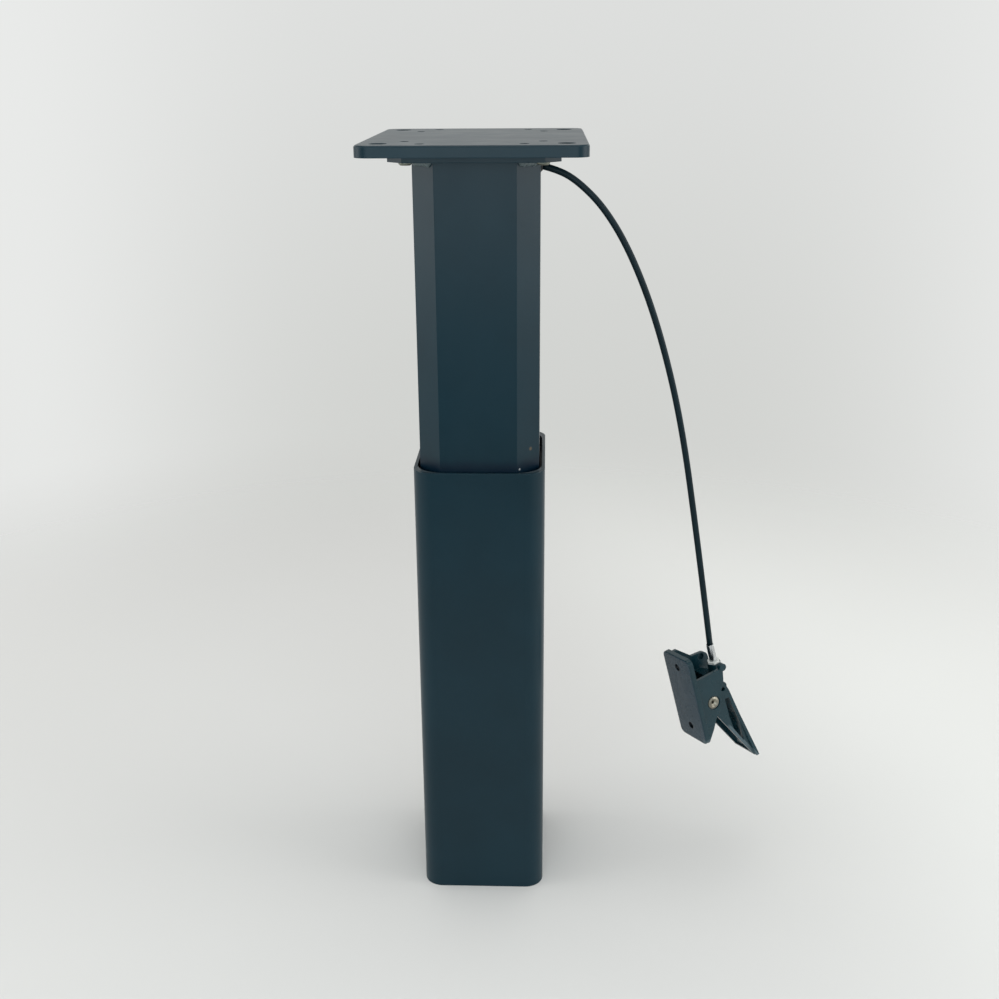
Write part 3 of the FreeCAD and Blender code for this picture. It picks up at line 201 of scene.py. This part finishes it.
class Shader(Pattern):
    """A material's nodes, with object coordinates in metres for its patterns."""

    def __init__(self, name):
        self.material = bpy.data.materials.new(name)
        self.material.use_nodes = True
        super().__init__(self.material.node_tree, "Object")
        self.surface = self.tree.nodes["Principled BSDF"]

    def round_edges(self, radius):
        """Shades sharp edges as rounded ones. It comes before edges and relief, which start from it."""
        node = self.add("Bevel")
        node.samples = BEVEL_SAMPLES
        node.inputs["Radius"].default_value = radius
        self.rounded = node.outputs["Normal"]
        self.normal = self.rounded

    def edges(self):
        """1 on sharp edges and 0 on flats, from how far the rounded normal turns."""
        plain = self.add("NewGeometry").outputs["Normal"]
        agreement = self.vector("DOT_PRODUCT", self.rounded, plain)["Value"]
        return self.fit(agreement, NORMALS_AGREE, FALL)

    def colour(self, base, patches=()):
        """The base colour, with patches of other tints over it."""
        for where, tint in patches:
            base = self.mix(where(self), base, tint)
        self.feed(self.surface.inputs["Base Color"], base)

    def gloss(self, pattern, span, roughness, stray):
        """A roughness that strays from its middle value with a pattern."""
        limits = (roughness + stray[0], roughness + stray[1])
        self.feed(self.surface.inputs["Roughness"], self.fit(pattern, span, limits))

    def relief(self, height, depth, strength):
        """Adds fine relief to the surface's normal."""
        node = self.add("Bump")
        node.inputs["Distance"].default_value = depth
        node.inputs["Strength"].default_value = strength
        self.feed(node.inputs["Height"], height)
        self.feed(node.inputs["Normal"], self.normal)
        self.normal = node.outputs["Normal"]
        self.feed(self.surface.inputs["Normal"], self.normal)

    def set(self, **numbers):
        for name, number in numbers.items():
            self.surface.inputs[name.replace("_", " ")].default_value = number


# Finishes: the radius of an edge, the tones of the colour, paler marks on it, and the stray of the gloss
PAINT_EDGE = 0.0006
PAINT_TONES = (0.9, 1.1)
PAINT_DUST = 2.2
PAINT_WORN = 3.0
PAINT_GLOSS = (-0.02, 0.03)
PLASTIC_EDGE = 0.0004
PLASTIC_TONES = (0.88, 1.12)
PLASTIC_WORN = 2.2
PLASTIC_WEAR = 0.35
PLASTIC_GLOSS = (-0.06, 0.06)
METAL_EDGE = 0.0002
METAL_GLOSS = (-0.07, 0.09)

# The middle part of a noise, where most of its values are
NOISE_MIDDLE = (0.3, 0.7)
NOISE_WIDE = (0.25, 0.75)


def shade(colour, factor):
    return tuple(channel * factor for channel in colour)


def cloudy(s, colour, scale, tones):
    """A colour that wanders between two tones of itself."""
    cloud = s.fit(s.noise(scale, detail=4), NOISE_MIDDLE)
    return s.mix(cloud, shade(colour, tones[0]), shade(colour, tones[1]))


def paint(name, colour, roughness, specular, wear, patches=()):
    """Satin powder coat: fine peel, cloudy tone, dust, paler worn edges, and patches of other tints."""
    s = Shader(name)
    s.round_edges(PAINT_EDGE)
    base = cloudy(s, colour, scale=14, tones=PAINT_TONES)
    dust = s.fit(s.noise(scale=1400, detail=2), (0.70, 0.80), (0.0, 0.35))
    base = s.mix(dust, base, shade(colour, PAINT_DUST))
    worn = s.fit(s.noise(scale=160, detail=3), (0.35, 0.70), (0.1, wear))
    base = s.mix(s.math("MULTIPLY", s.edges(), worn), base, shade(colour, PAINT_WORN))
    s.colour(base, patches)
    smudge = s.noise(scale=35, detail=5, roughness=0.6, stretch=(1, 1, 0.35))
    s.gloss(smudge, NOISE_WIDE, roughness, PAINT_GLOSS)
    s.relief(s.noise(scale=1100, detail=2), depth=0.0002, strength=0.10)
    s.relief(s.noise(scale=260, detail=2), depth=0.0004, strength=0.04)
    s.set(Specular_IOR_Level=specular)
    return s.material


def moulded(name, colour, roughness, specular=0.4, grain=1800, strength=0.15, patches=()):
    """Moulded plastic or rubber: fine spark-eroded grain, cloudy tone, rubbed edges, and patches."""
    s = Shader(name)
    s.round_edges(PLASTIC_EDGE)
    base = cloudy(s, colour, scale=45, tones=PLASTIC_TONES)
    worn = s.math("MULTIPLY", s.edges(), PLASTIC_WEAR)
    base = s.mix(worn, base, shade(colour, PLASTIC_WORN))
    s.colour(base, patches)
    s.gloss(s.noise(scale=120, detail=3), NOISE_MIDDLE, roughness, PLASTIC_GLOSS)
    s.relief(s.noise(grain, detail=2), depth=0.0002, strength=strength)
    s.set(Specular_IOR_Level=specular)
    return s.material


def metal(name, colour, roughness, stretch=(1, 1, 1), scale=900, strength=0.08, stain=0.8):
    """Bare or plated metal: drawn or turned lines, cloudy plating, darker stains."""
    s = Shader(name)
    s.round_edges(METAL_EDGE)
    cloud = s.fit(s.noise(scale=220, detail=4), (0.30, 0.72))
    s.colour(s.mix(cloud, shade(colour, stain), colour))
    lines = s.noise(scale, detail=3, roughness=0.6, stretch=stretch)
    s.gloss(lines, NOISE_WIDE, roughness, METAL_GLOSS)
    s.relief(lines, depth=0.0001, strength=strength)
    s.set(Metallic=1.0)
    return s.material


COLUMN_BLUE = (0.0040, 0.0215, 0.0320)
# Lighter than the column paint: painted light that offsets the shade under the flange on the welds
WELD_PAINTED_LIGHT_BLUE = (0.0900, 0.1150, 0.1200)
# Lighter than the column paint: a painted sheen on the rim's top face at its corners
RIM_PAINTED_SHEEN_BLUE = (0.0420, 0.0600, 0.0700)
HANDLE_BLUE = (0.0040, 0.0270, 0.0365)
# Painted sheen: the lighter tint of the handle's mounting face
FACE_SHEEN_BLUE = (0.0270, 0.0510, 0.0700)
# Painted shade in the handle's screw holes
HOLE_PAINTED_SHADE = (0.0010, 0.0040, 0.0070)
# Painted shade on the inner tube just above the rim
RIM_SHADE_DARK = (0.0003, 0.0080, 0.0190)
SCUFF_TAN = (0.0900, 0.0700, 0.0480)
CHIP_PALE = (0.3000, 0.3200, 0.3300)
# Painted highlight along the lever's lower edge
EDGE_HIGHLIGHT_BLUE = (0.0650, 0.1000, 0.1150)

# Marks on the inner tube: a scuff, a chip, and a painted shade above the rim with its even and uneven share
SCUFF_PLACE = (0.0312, -0.0344, 0.3084)
SCUFF_REACH = (0.0004, 0.0016)
CHIP_PLACE = (0.0247, -0.0409, 0.2973)
CHIP_REACH = (0.0003, 0.0010)
UPWARD = (0, 0, 1)
RIM_SHADE_LEVEL = 0.2980
RIM_SHADE_FADE = 0.0065
UNEVEN_LEVEL = 0.3000
UNEVEN_FADE = 0.0080
RIM_SHADE_EVEN = 0.7
RIM_SHADE_UNEVEN = 0.3


def scuff(s):
    return s.near(SCUFF_PLACE, SCUFF_REACH)


def chip(s):
    return s.near(CHIP_PLACE, CHIP_REACH)


def painted_rim_shade(s):
    """Painted shade: a dark band above the rim, where the inner tube goes into the outer tube, with an
    uneven edge.
    """
    wander = s.fit(s.noise(scale=90, detail=3), (0.2, 0.8))
    even = s.below(UPWARD, RIM_SHADE_LEVEL, RIM_SHADE_FADE)
    uneven = s.math("MULTIPLY", s.below(UPWARD, UNEVEN_LEVEL, UNEVEN_FADE), wander)
    return s.math(
        "ADD", s.math("MULTIPLY", even, RIM_SHADE_EVEN), s.math("MULTIPLY", uneven, RIM_SHADE_UNEVEN),
    )


# The handle's mounting face, lightened as a painted sheen, and its two screw holes, darkened as painted
# shade
HANDLE_FACE = -0.0280
FACE_DEPTH = 0.0001
FACE_FADE = 0.0002
HANDLE_HOLES = (0.0075, -0.0370)
HOLE_RADIUS = 0.0024
HOLE_REACH = (HOLE_RADIUS + 0.00005, HOLE_RADIUS + 0.0002)


# Painted sheen: the mounting face is lightened where it reflects the bright room
def painted_face_sheen(s):
    return s.below(HANDLE_OUT, HANDLE_PLACE.dot(HANDLE_OUT) + HANDLE_FACE + FACE_DEPTH, FACE_FADE)


def painted_hole_shade(s):
    """Painted shade: 1 on the walls of the two screw holes, by the distance from the holes' axes."""
    shares = []
    for along in HANDLE_HOLES:
        away = s.vector("SUBTRACT", s.place, on_handle(HANDLE_FACE, 0, along))["Vector"]
        square = s.vector("CROSS_PRODUCT", away, HANDLE_OUT)["Vector"]
        distance = s.vector("LENGTH", square)["Value"]
        shares.append(s.fit(distance, HOLE_REACH, FALL))
    return s.math("MAXIMUM", *shares)


# The heel of the lever's near wall, the way from its lower edge into the wall, and the band there that is
# lightened as a painted highlight
LEVER_HEEL = on_handle(-0.0060, -0.0104, -0.0465)
LEVER_INWARD = HANDLE_TURN @ Vector((0.8862, 0.0, 0.4633))
HIGHLIGHT_WIDTH = 0.0019
HIGHLIGHT_FADE = 0.0004
HIGHLIGHT_TAPER = 0.0040
WALL_FADE = 0.0002


def painted_edge_highlight(s):
    """Painted highlight: 1 on the bevelled band along the lower edge of the lever's near wall, lightened
    where it catches the light.
    """
    band = s.below(LEVER_INWARD, LEVER_HEEL.dot(LEVER_INWARD) + HIGHLIGHT_WIDTH, HIGHLIGHT_FADE)
    wall = s.below(HANDLE_ACROSS, LEVER_HEEL.dot(HANDLE_ACROSS), WALL_FADE)
    lower = s.below(HANDLE_ALONG, LEVER_HEEL.dot(HANDLE_ALONG), HIGHLIGHT_TAPER)
    return s.math("MULTIPLY", s.math("MULTIPLY", band, wall), lower)


MATERIALS = {
    "column_paint": paint("column_paint", COLUMN_BLUE, roughness=0.33, specular=0.22, wear=0.5),
    "base_steel": metal("base_steel", (0.45, 0.46, 0.47), roughness=0.38, stretch=(1, 1, 6)),
    "zinc_screw": metal(
        "zinc_screw", (0.24, 0.25, 0.21), roughness=0.48,
        stretch=(2, 2, 2), scale=700, strength=0.06, stain=0.7,
    ),
    "cylinder_paint": paint(
        "cylinder_paint", (0.020, 0.021, 0.023), roughness=0.36, specular=0.4, wear=0.4,
    ),
    "rod_chrome": metal(
        "rod_chrome", (0.75, 0.76, 0.78), roughness=0.14,
        stretch=(1, 1, 8), scale=600, strength=0.02, stain=0.95,
    ),
    "guide_plastic": moulded("guide_plastic", (0.012, 0.017, 0.020), roughness=0.5, specular=0.25),
    "seal_rubber": moulded(
        "seal_rubber", (0.016, 0.017, 0.018), roughness=0.62, specular=0.3, grain=1200, strength=0.2,
    ),
    "head_aluminium": metal(
        "head_aluminium", (0.60, 0.61, 0.62), roughness=0.5, scale=1100, strength=0.3, stain=0.82,
    ),
    "sheath_plastic": moulded(
        "sheath_plastic", (0.004, 0.014, 0.019), roughness=0.42, specular=0.15, grain=1500, strength=0.04,
    ),
    "wire_steel": metal(
        "wire_steel", (0.55, 0.55, 0.55), roughness=0.34, stretch=(6, 1, 1), strength=0.15,
    ),
    "handle_plastic": moulded(
        "handle_plastic", HANDLE_BLUE, roughness=0.27, specular=0.34,
        patches=((painted_face_sheen, FACE_SHEEN_BLUE), (painted_hole_shade, HOLE_PAINTED_SHADE), (painted_edge_highlight, EDGE_HIGHLIGHT_BLUE)),
    ),
    "ferrule_metal": metal(
        "ferrule_metal", (0.68, 0.70, 0.71), roughness=0.27, stretch=(1, 1, 0.15), scale=1200, stain=0.75,
    ),
    "collar_plastic": moulded("collar_plastic", (0.62, 0.63, 0.60), roughness=0.42),
    "nipple_zinc": metal("nipple_zinc", (0.30, 0.30, 0.31), roughness=0.40),
}

# Nodes whose finish differs from the rest of their slot
OWN_MATERIALS = {
    "inner_tube": paint(
        "inner_paint", COLUMN_BLUE, roughness=0.33, specular=0.22, wear=0.5,
        patches=((painted_rim_shade, RIM_SHADE_DARK), (scuff, SCUFF_TAN), (chip, CHIP_PALE)),
    ),
    "pivot_rivet": metal(
        "rivet_zinc", (0.35, 0.33, 0.27), roughness=0.46,
        stretch=(2, 2, 2), scale=500, strength=0.10, stain=0.6,
    ),
}


def dress_nodes():
    for row in frame["record"]["subparts"]:
        slots = nodes[row["node"]].data.materials
        slots.clear()
        slots.append(OWN_MATERIALS.get(row["node"], MATERIALS[row["material_slot"]]))


# The four corners of a rectangle round the column, as signs of x and y
CORNERS = ((1, 1), (-1, 1), (-1, -1), (1, -1))


def add_piece(name, corners, faces, smooth):
    """A mesh object from its corners and faces. If smooth, its four-sided faces are shaded so."""
    mesh = bpy.data.meshes.new(name)
    mesh.from_pydata(corners, [], faces)
    for face in mesh.polygons:
        face.use_smooth = smooth and len(face.vertices) == 4
    mesh.update()
    piece = bpy.data.objects.new(name, mesh)
    scene.collection.objects.link(piece)
    return piece


def skin_rings(rings, sides, first):
    """Faces of a closed tube through rings of corners, the first corner's number given."""
    faces = []
    for ring in range(rings - 1):
        low = first + ring * sides
        for side in range(sides):
            step = (side + 1) % sides
            faces.append((low + side, low + step, low + sides + step, low + sides + side))
    last = first + (rings - 1) * sides
    faces.append(tuple(reversed(range(first, first + sides))))
    faces.append(tuple(range(last, last + sides)))
    return faces


# The free cable: its route from the outlet to the ferrule, in the plane y = 0
CABLE_ROUTE = [
    (0.0376, 0.4710), (0.0478, 0.4684), (0.0592, 0.4614), (0.0737, 0.4473),
    (0.0888, 0.4237), (0.1044, 0.3876), (0.1179, 0.3437), (0.1276, 0.3011),
    (0.1359, 0.2530), (0.1437, 0.2054), (0.150783, 0.160559),
]
CABLE_DIAMETER = 0.004
CABLE_SIDES = 20
SPLINE_ORDER = 3
SPLINE_STEPS = 10


def spline_points(route):
    """Points along a smooth spline with the route as its control points."""
    curve = bpy.data.curves.new("route", "CURVE")
    curve.dimensions = "3D"
    curve.resolution_u = SPLINE_STEPS
    spline = curve.splines.new("NURBS")
    spline.points.add(len(route) - 1)
    for point, place in zip(spline.points, route):
        point.co = (*place, 1)
    spline.order_u = SPLINE_ORDER
    spline.use_endpoint_u = True
    holder = bpy.data.objects.new("route", curve)
    line = bpy.data.meshes.new_from_object(holder)
    points = [vertex.co.copy() for vertex in line.vertices]
    bpy.data.meshes.remove(line)
    bpy.data.objects.remove(holder)
    bpy.data.curves.remove(curve)
    return points


def tube(name, line, radius, sides):
    """A closed round tube along a line that lies in a plane of constant y."""
    across = Vector((0, 1, 0))
    corners = []
    for index, centre in enumerate(line):
        before = line[max(index - 1, 0)]
        after = line[min(index + 1, len(line) - 1)]
        outward = across.cross((after - before).normalized())
        for side in range(sides):
            turn = 2 * math.pi * side / sides
            corners.append(centre + radius * (math.cos(turn) * across + math.sin(turn) * outward))
    return add_piece(name, corners, skin_rings(len(line), sides, 0), smooth=True)


def make_cable():
    route = [(x, 0.0, z) for x, z in CABLE_ROUTE]
    line = spline_points(route)
    cable = tube("free_cable", line, CABLE_DIAMETER / 2, CABLE_SIDES)
    cable.data.materials.append(MATERIALS["sheath_plastic"])
    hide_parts("cable_sheath")
    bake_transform(cable)


# The welds under the flange, one on each cut corner of the inner tube
WELD_LENGTH = 0.0166
WELD_LEG = 0.0034
WELD_DROP = 0.0042
WELD_PITCH = 0.0027
WELD_ROOT = 0.0002
WELD_STEPS = 48
WELD_ARC = 10

# The size of a bead as a share of its legs: its base, lumps and wander, and how it dies out at the ends
BEAD_BASE = 0.66
BEAD_LUMP = 0.20
BEAD_WANDER = 0.16
BEAD_END = 0.0022
BEAD_END_LEAST = 0.02
WANDER_SCALE = 420
WANDER_CORNER = 7.3

# How near to the widest part of the inner tube a point counts as on its flat side
ON_FLAT = 1e-5


def bead_size(along, corner):
    """Size of a bead at a place along it: overlapping lumps that die out at both ends."""
    lump = abs(math.sin(math.pi * along / WELD_PITCH + corner))
    wander = noise.noise(Vector((along * WANDER_SCALE, corner * WANDER_CORNER, 0.0)))
    end = min(1.0, (WELD_LENGTH / 2 - abs(along)) / BEAD_END)
    size = BEAD_BASE + BEAD_LUMP * lump + BEAD_WANDER * wander
    return size * math.sqrt(max(end, BEAD_END_LEAST))


def make_welds():
    inner = nodes["inner_tube"].data.vertices
    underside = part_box("flange_plate")[0][2]
    half_x = max(vertex.co.x for vertex in inner)
    half_y = max(vertex.co.y for vertex in inner)
    flat_y = max(vertex.co.y for vertex in inner if vertex.co.x > half_x - ON_FLAT)
    middle = Vector((half_x, half_y, 0)) - Vector((1, 1, 0)) * (half_y - flat_y) / 2
    sides = WELD_ARC + 2
    corners = []
    faces = []
    for corner, (x, y) in enumerate(CORNERS):
        centre = Vector((middle.x * x, middle.y * y, underside))
        outward = Vector((x, y, 0)).normalized()
        run = outward.cross(Vector((0, 0, 1)))
        faces += skin_rings(WELD_STEPS + 1, sides, len(corners))
        for step in range(WELD_STEPS + 1):
            along = WELD_LENGTH * (step / WELD_STEPS - 0.5)
            size = bead_size(along, corner)
            ring = [(-WELD_ROOT, WELD_ROOT)]
            for part in range(WELD_ARC + 1):
                turn = math.pi / 2 * part / WELD_ARC
                ring.append((WELD_LEG * size * math.cos(turn), -WELD_DROP * size * math.sin(turn)))
            for out, rise in ring:
                corners.append(centre + run * along + outward * out + Vector((0, 0, rise)))
    welds = add_piece("weld_lumps", corners, faces, smooth=True)
    # The welds' paint is lightened to make up for the shade under the flange: painted light
    welds.data.materials.append(paint("weld_paint_with_painted_light", WELD_PAINTED_LIGHT_BLUE, roughness=0.42, specular=0.25, wear=0.4))
    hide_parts("weld_beads")
    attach(welds, "lift_column")


# The thicker corners of the outer tube's wall at its rim, from above the sliding bush to just under the rim
TUBE_WALL = 0.0020
TUBE_ROUND = 0.0120
WEB_ROUND = 0.0160
WEB_BURIED = 0.0004
WEB_ABOVE_BUSH = 0.0003
WEB_UNDER_RIM = 0.00005
WEB_STEPS = 24


def make_rim_webs():
    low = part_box("upper_guide_bush")[1].z + WEB_ABOVE_BUSH
    half = Vector(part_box("outer_tube")[1])
    high = half.z - WEB_UNDER_RIM
    wall_x = half.x - TUBE_WALL
    wall_y = half.y - TUBE_WALL
    bore = TUBE_ROUND - TUBE_WALL
    corners = []
    faces = []
    for x, y in CORNERS:
        faces += skin_rings(WEB_STEPS + 1, 4, len(corners))
        for step in range(WEB_STEPS + 1):
            turn = math.pi / 2 * step / WEB_STEPS
            inner = (
                wall_x - WEB_ROUND * (1 - math.cos(turn)),
                wall_y - WEB_ROUND * (1 - math.sin(turn)),
            )
            outer = (
                wall_x - bore * (1 - math.cos(turn)) + WEB_BURIED * math.cos(turn),
                wall_y - bore * (1 - math.sin(turn)) + WEB_BURIED * math.sin(turn),
            )
            for place, level in ((inner, low), (outer, low), (outer, high), (inner, high)):
                corners.append(Vector((x * place[0], y * place[1], level)))
    webs = add_piece("rim_webs", corners, faces, smooth=False)
    # The webs' paint is a lighter copy of the column paint: a painted sheen on the rim's top face at the
    # corners
    webs.data.materials.append(paint("rim_paint_with_painted_sheen", RIM_PAINTED_SHEEN_BLUE, roughness=0.33, specular=0.20, wear=0.5))
    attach(webs, "outer_column")


# The web from the far ear of the handle to its bridge: its outline (out, along), and its two sides across
CHIN_OUTLINE = (
    (0.0032, -0.0085), (0.0032, -0.0129), (0.0005, -0.0136), (-0.0055, -0.0130), (-0.0055, -0.0110),
)
CHIN_ACROSS = (0.01095, 0.01335)


def make_chin_web():
    corners = [on_handle(out, across, along) for across in CHIN_ACROSS for out, along in CHIN_OUTLINE]
    faces = skin_rings(len(CHIN_ACROSS), len(CHIN_OUTLINE), 0)
    web = add_piece("chin_web", corners, faces, smooth=False)
    web.data.materials.append(MATERIALS["handle_plastic"])
    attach(web, "release_handle")


# The floor, which fades into the background, and the way in which a painted pool of light makes it lighter
# on the right
FLOOR_RADIUS = 3.0
FLOOR_SIDES = 96
FLOOR_REACH = (0.45, 1.1)
FLOOR_COLOUR = (0.645, 0.640, 0.626)
FLOOR_TONES = (0.985, 1.01)
FLOOR_PAINTED_LIGHT = (0.755, 0.755, 0.735)
PAINTED_LIGHT_WAY = (-0.9, -0.4, 0)
PAINTED_LIGHT_LEVEL = -0.42
PAINTED_LIGHT_FADE = 0.32


def make_floor():
    turns = [2 * math.pi * side / FLOOR_SIDES for side in range(FLOOR_SIDES)]
    ring = [(FLOOR_RADIUS * math.cos(turn), FLOOR_RADIUS * math.sin(turn), 0) for turn in turns]
    mesh = bpy.data.meshes.new("floor")
    mesh.from_pydata(ring, [], [tuple(range(FLOOR_SIDES))])
    floor = bpy.data.objects.new("floor", mesh)
    scene.collection.objects.link(floor)
    s = Shader("floor")
    dark, light = (shade(FLOOR_COLOUR, tone) for tone in FLOOR_TONES)
    base = s.mix(s.noise(scale=3, detail=3), dark, light)
    # Painted light: a lighter tint on the right of the floor
    s.colour(s.mix(s.below(PAINTED_LIGHT_WAY, PAINTED_LIGHT_LEVEL, PAINTED_LIGHT_FADE), base, FLOOR_PAINTED_LIGHT))
    s.set(Roughness=0.6, Specular_IOR_Level=0.2)
    clear = s.add("BsdfTransparent")
    mixed = s.add("MixShader")
    s.feed(mixed.inputs["Fac"], s.near((0, 0, 0), FLOOR_REACH))
    s.feed(mixed.inputs[1], clear.outputs["BSDF"])
    s.feed(mixed.inputs[2], s.surface.outputs["BSDF"])
    s.feed(s.tree.nodes["Material Output"].inputs["Surface"], mixed.outputs["Shader"])
    mesh.materials.append(s.material)


# The room: how it turns lighter with height and to the sides of the view, and the dark card in front
BACKGROUND_LOW = (0.64, 0.65, 0.63)
BACKGROUND_HIGH = (0.73, 0.74, 0.73)
BACKGROUND_EDGE = (0.84, 0.85, 0.84)
BACKGROUND_RISE = (-0.30, 0.10)
EDGE_SPREAD = (0.0, 0.16)
EDGE_SHARE = (0.0, 0.8)
EDGE_AHEAD = (0.6, 0.9)
CARD_LOW = (0.03, 0.03, 0.03)
CARD_HIGH = (0.25, 0.255, 0.25)
CARD_RISE = (-0.32, -0.06)
CARD_AHEAD = (-0.96, -0.60)


def make_world():
    """A pale room, and a dark card that the front of the object faces and the camera doesn't see."""
    world = bpy.data.worlds.new("studio")
    world.use_nodes = True
    p = Pattern(world.node_tree, "Generated")
    across, ahead, up = p.separate()
    colour = p.mix(p.fit(up, BACKGROUND_RISE), BACKGROUND_LOW, BACKGROUND_HIGH)
    edge = p.fit(p.math("MULTIPLY", across, across), EDGE_SPREAD, EDGE_SHARE)
    edge = p.math("MULTIPLY", edge, p.fit(ahead, EDGE_AHEAD))
    colour = p.mix(edge, colour, BACKGROUND_EDGE)
    front = p.mix(p.fit(up, CARD_RISE), CARD_LOW, CARD_HIGH)
    seen = p.add("LightPath").outputs["Is Camera Ray"]
    card = p.math("MULTIPLY", p.fit(ahead, CARD_AHEAD, FALL), p.math("SUBTRACT", 1.0, seen))
    background = world.node_tree.nodes["Background"]
    p.feed(background.inputs["Color"], p.mix(card, colour, front))
    background.inputs["Strength"].default_value = 1.0
    scene.world = world


WHITE_LIGHT = (1.0, 1.0, 1.0)
COOL_LIGHT = (0.82, 0.94, 1.0)


def make_lamp(name, place, target, size, power, colour=WHITE_LIGHT):
    """A rectangular lamp that the camera doesn't see, its power in watts."""
    data = bpy.data.lights.new(name, "AREA")
    data.shape = "RECTANGLE"
    data.size, data.size_y = size
    data.energy = power
    data.color = colour
    lamp = bpy.data.objects.new(name, data)
    lamp.location = place
    lamp.rotation_mode = "QUATERNION"
    lamp.rotation_quaternion = (Vector(target) - Vector(place)).to_track_quat("-Z", "Y")
    lamp.visible_camera = False
    scene.collection.objects.link(lamp)


def make_lamps():
    make_lamp("top_lamp", place=(0.0, 0.1, 1.5), target=(0.02, 0.0, 0.2), size=(0.9, 0.7), power=3)
    make_lamp(
        "front_lamp", place=(0.05, -1.0, 0.52), target=(0.02, 0.0, 0.43), size=(1.1, 0.46), power=4.6,
        colour=COOL_LIGHT,
    )
    for name, side in (("left_lamp", -1), ("right_lamp", 1)):
        place = (1.25 * side, -0.15, 0.68)
        make_lamp(name, place, target=(0.0, 0.0, 0.35), size=(0.9, 1.0), power=6.4)


make_camera()
make_cable()
dress_nodes()
make_welds()
make_rim_webs()
make_chin_web()
make_floor()
make_world()
make_lamps()

scene.view_settings.view_transform = "Standard"
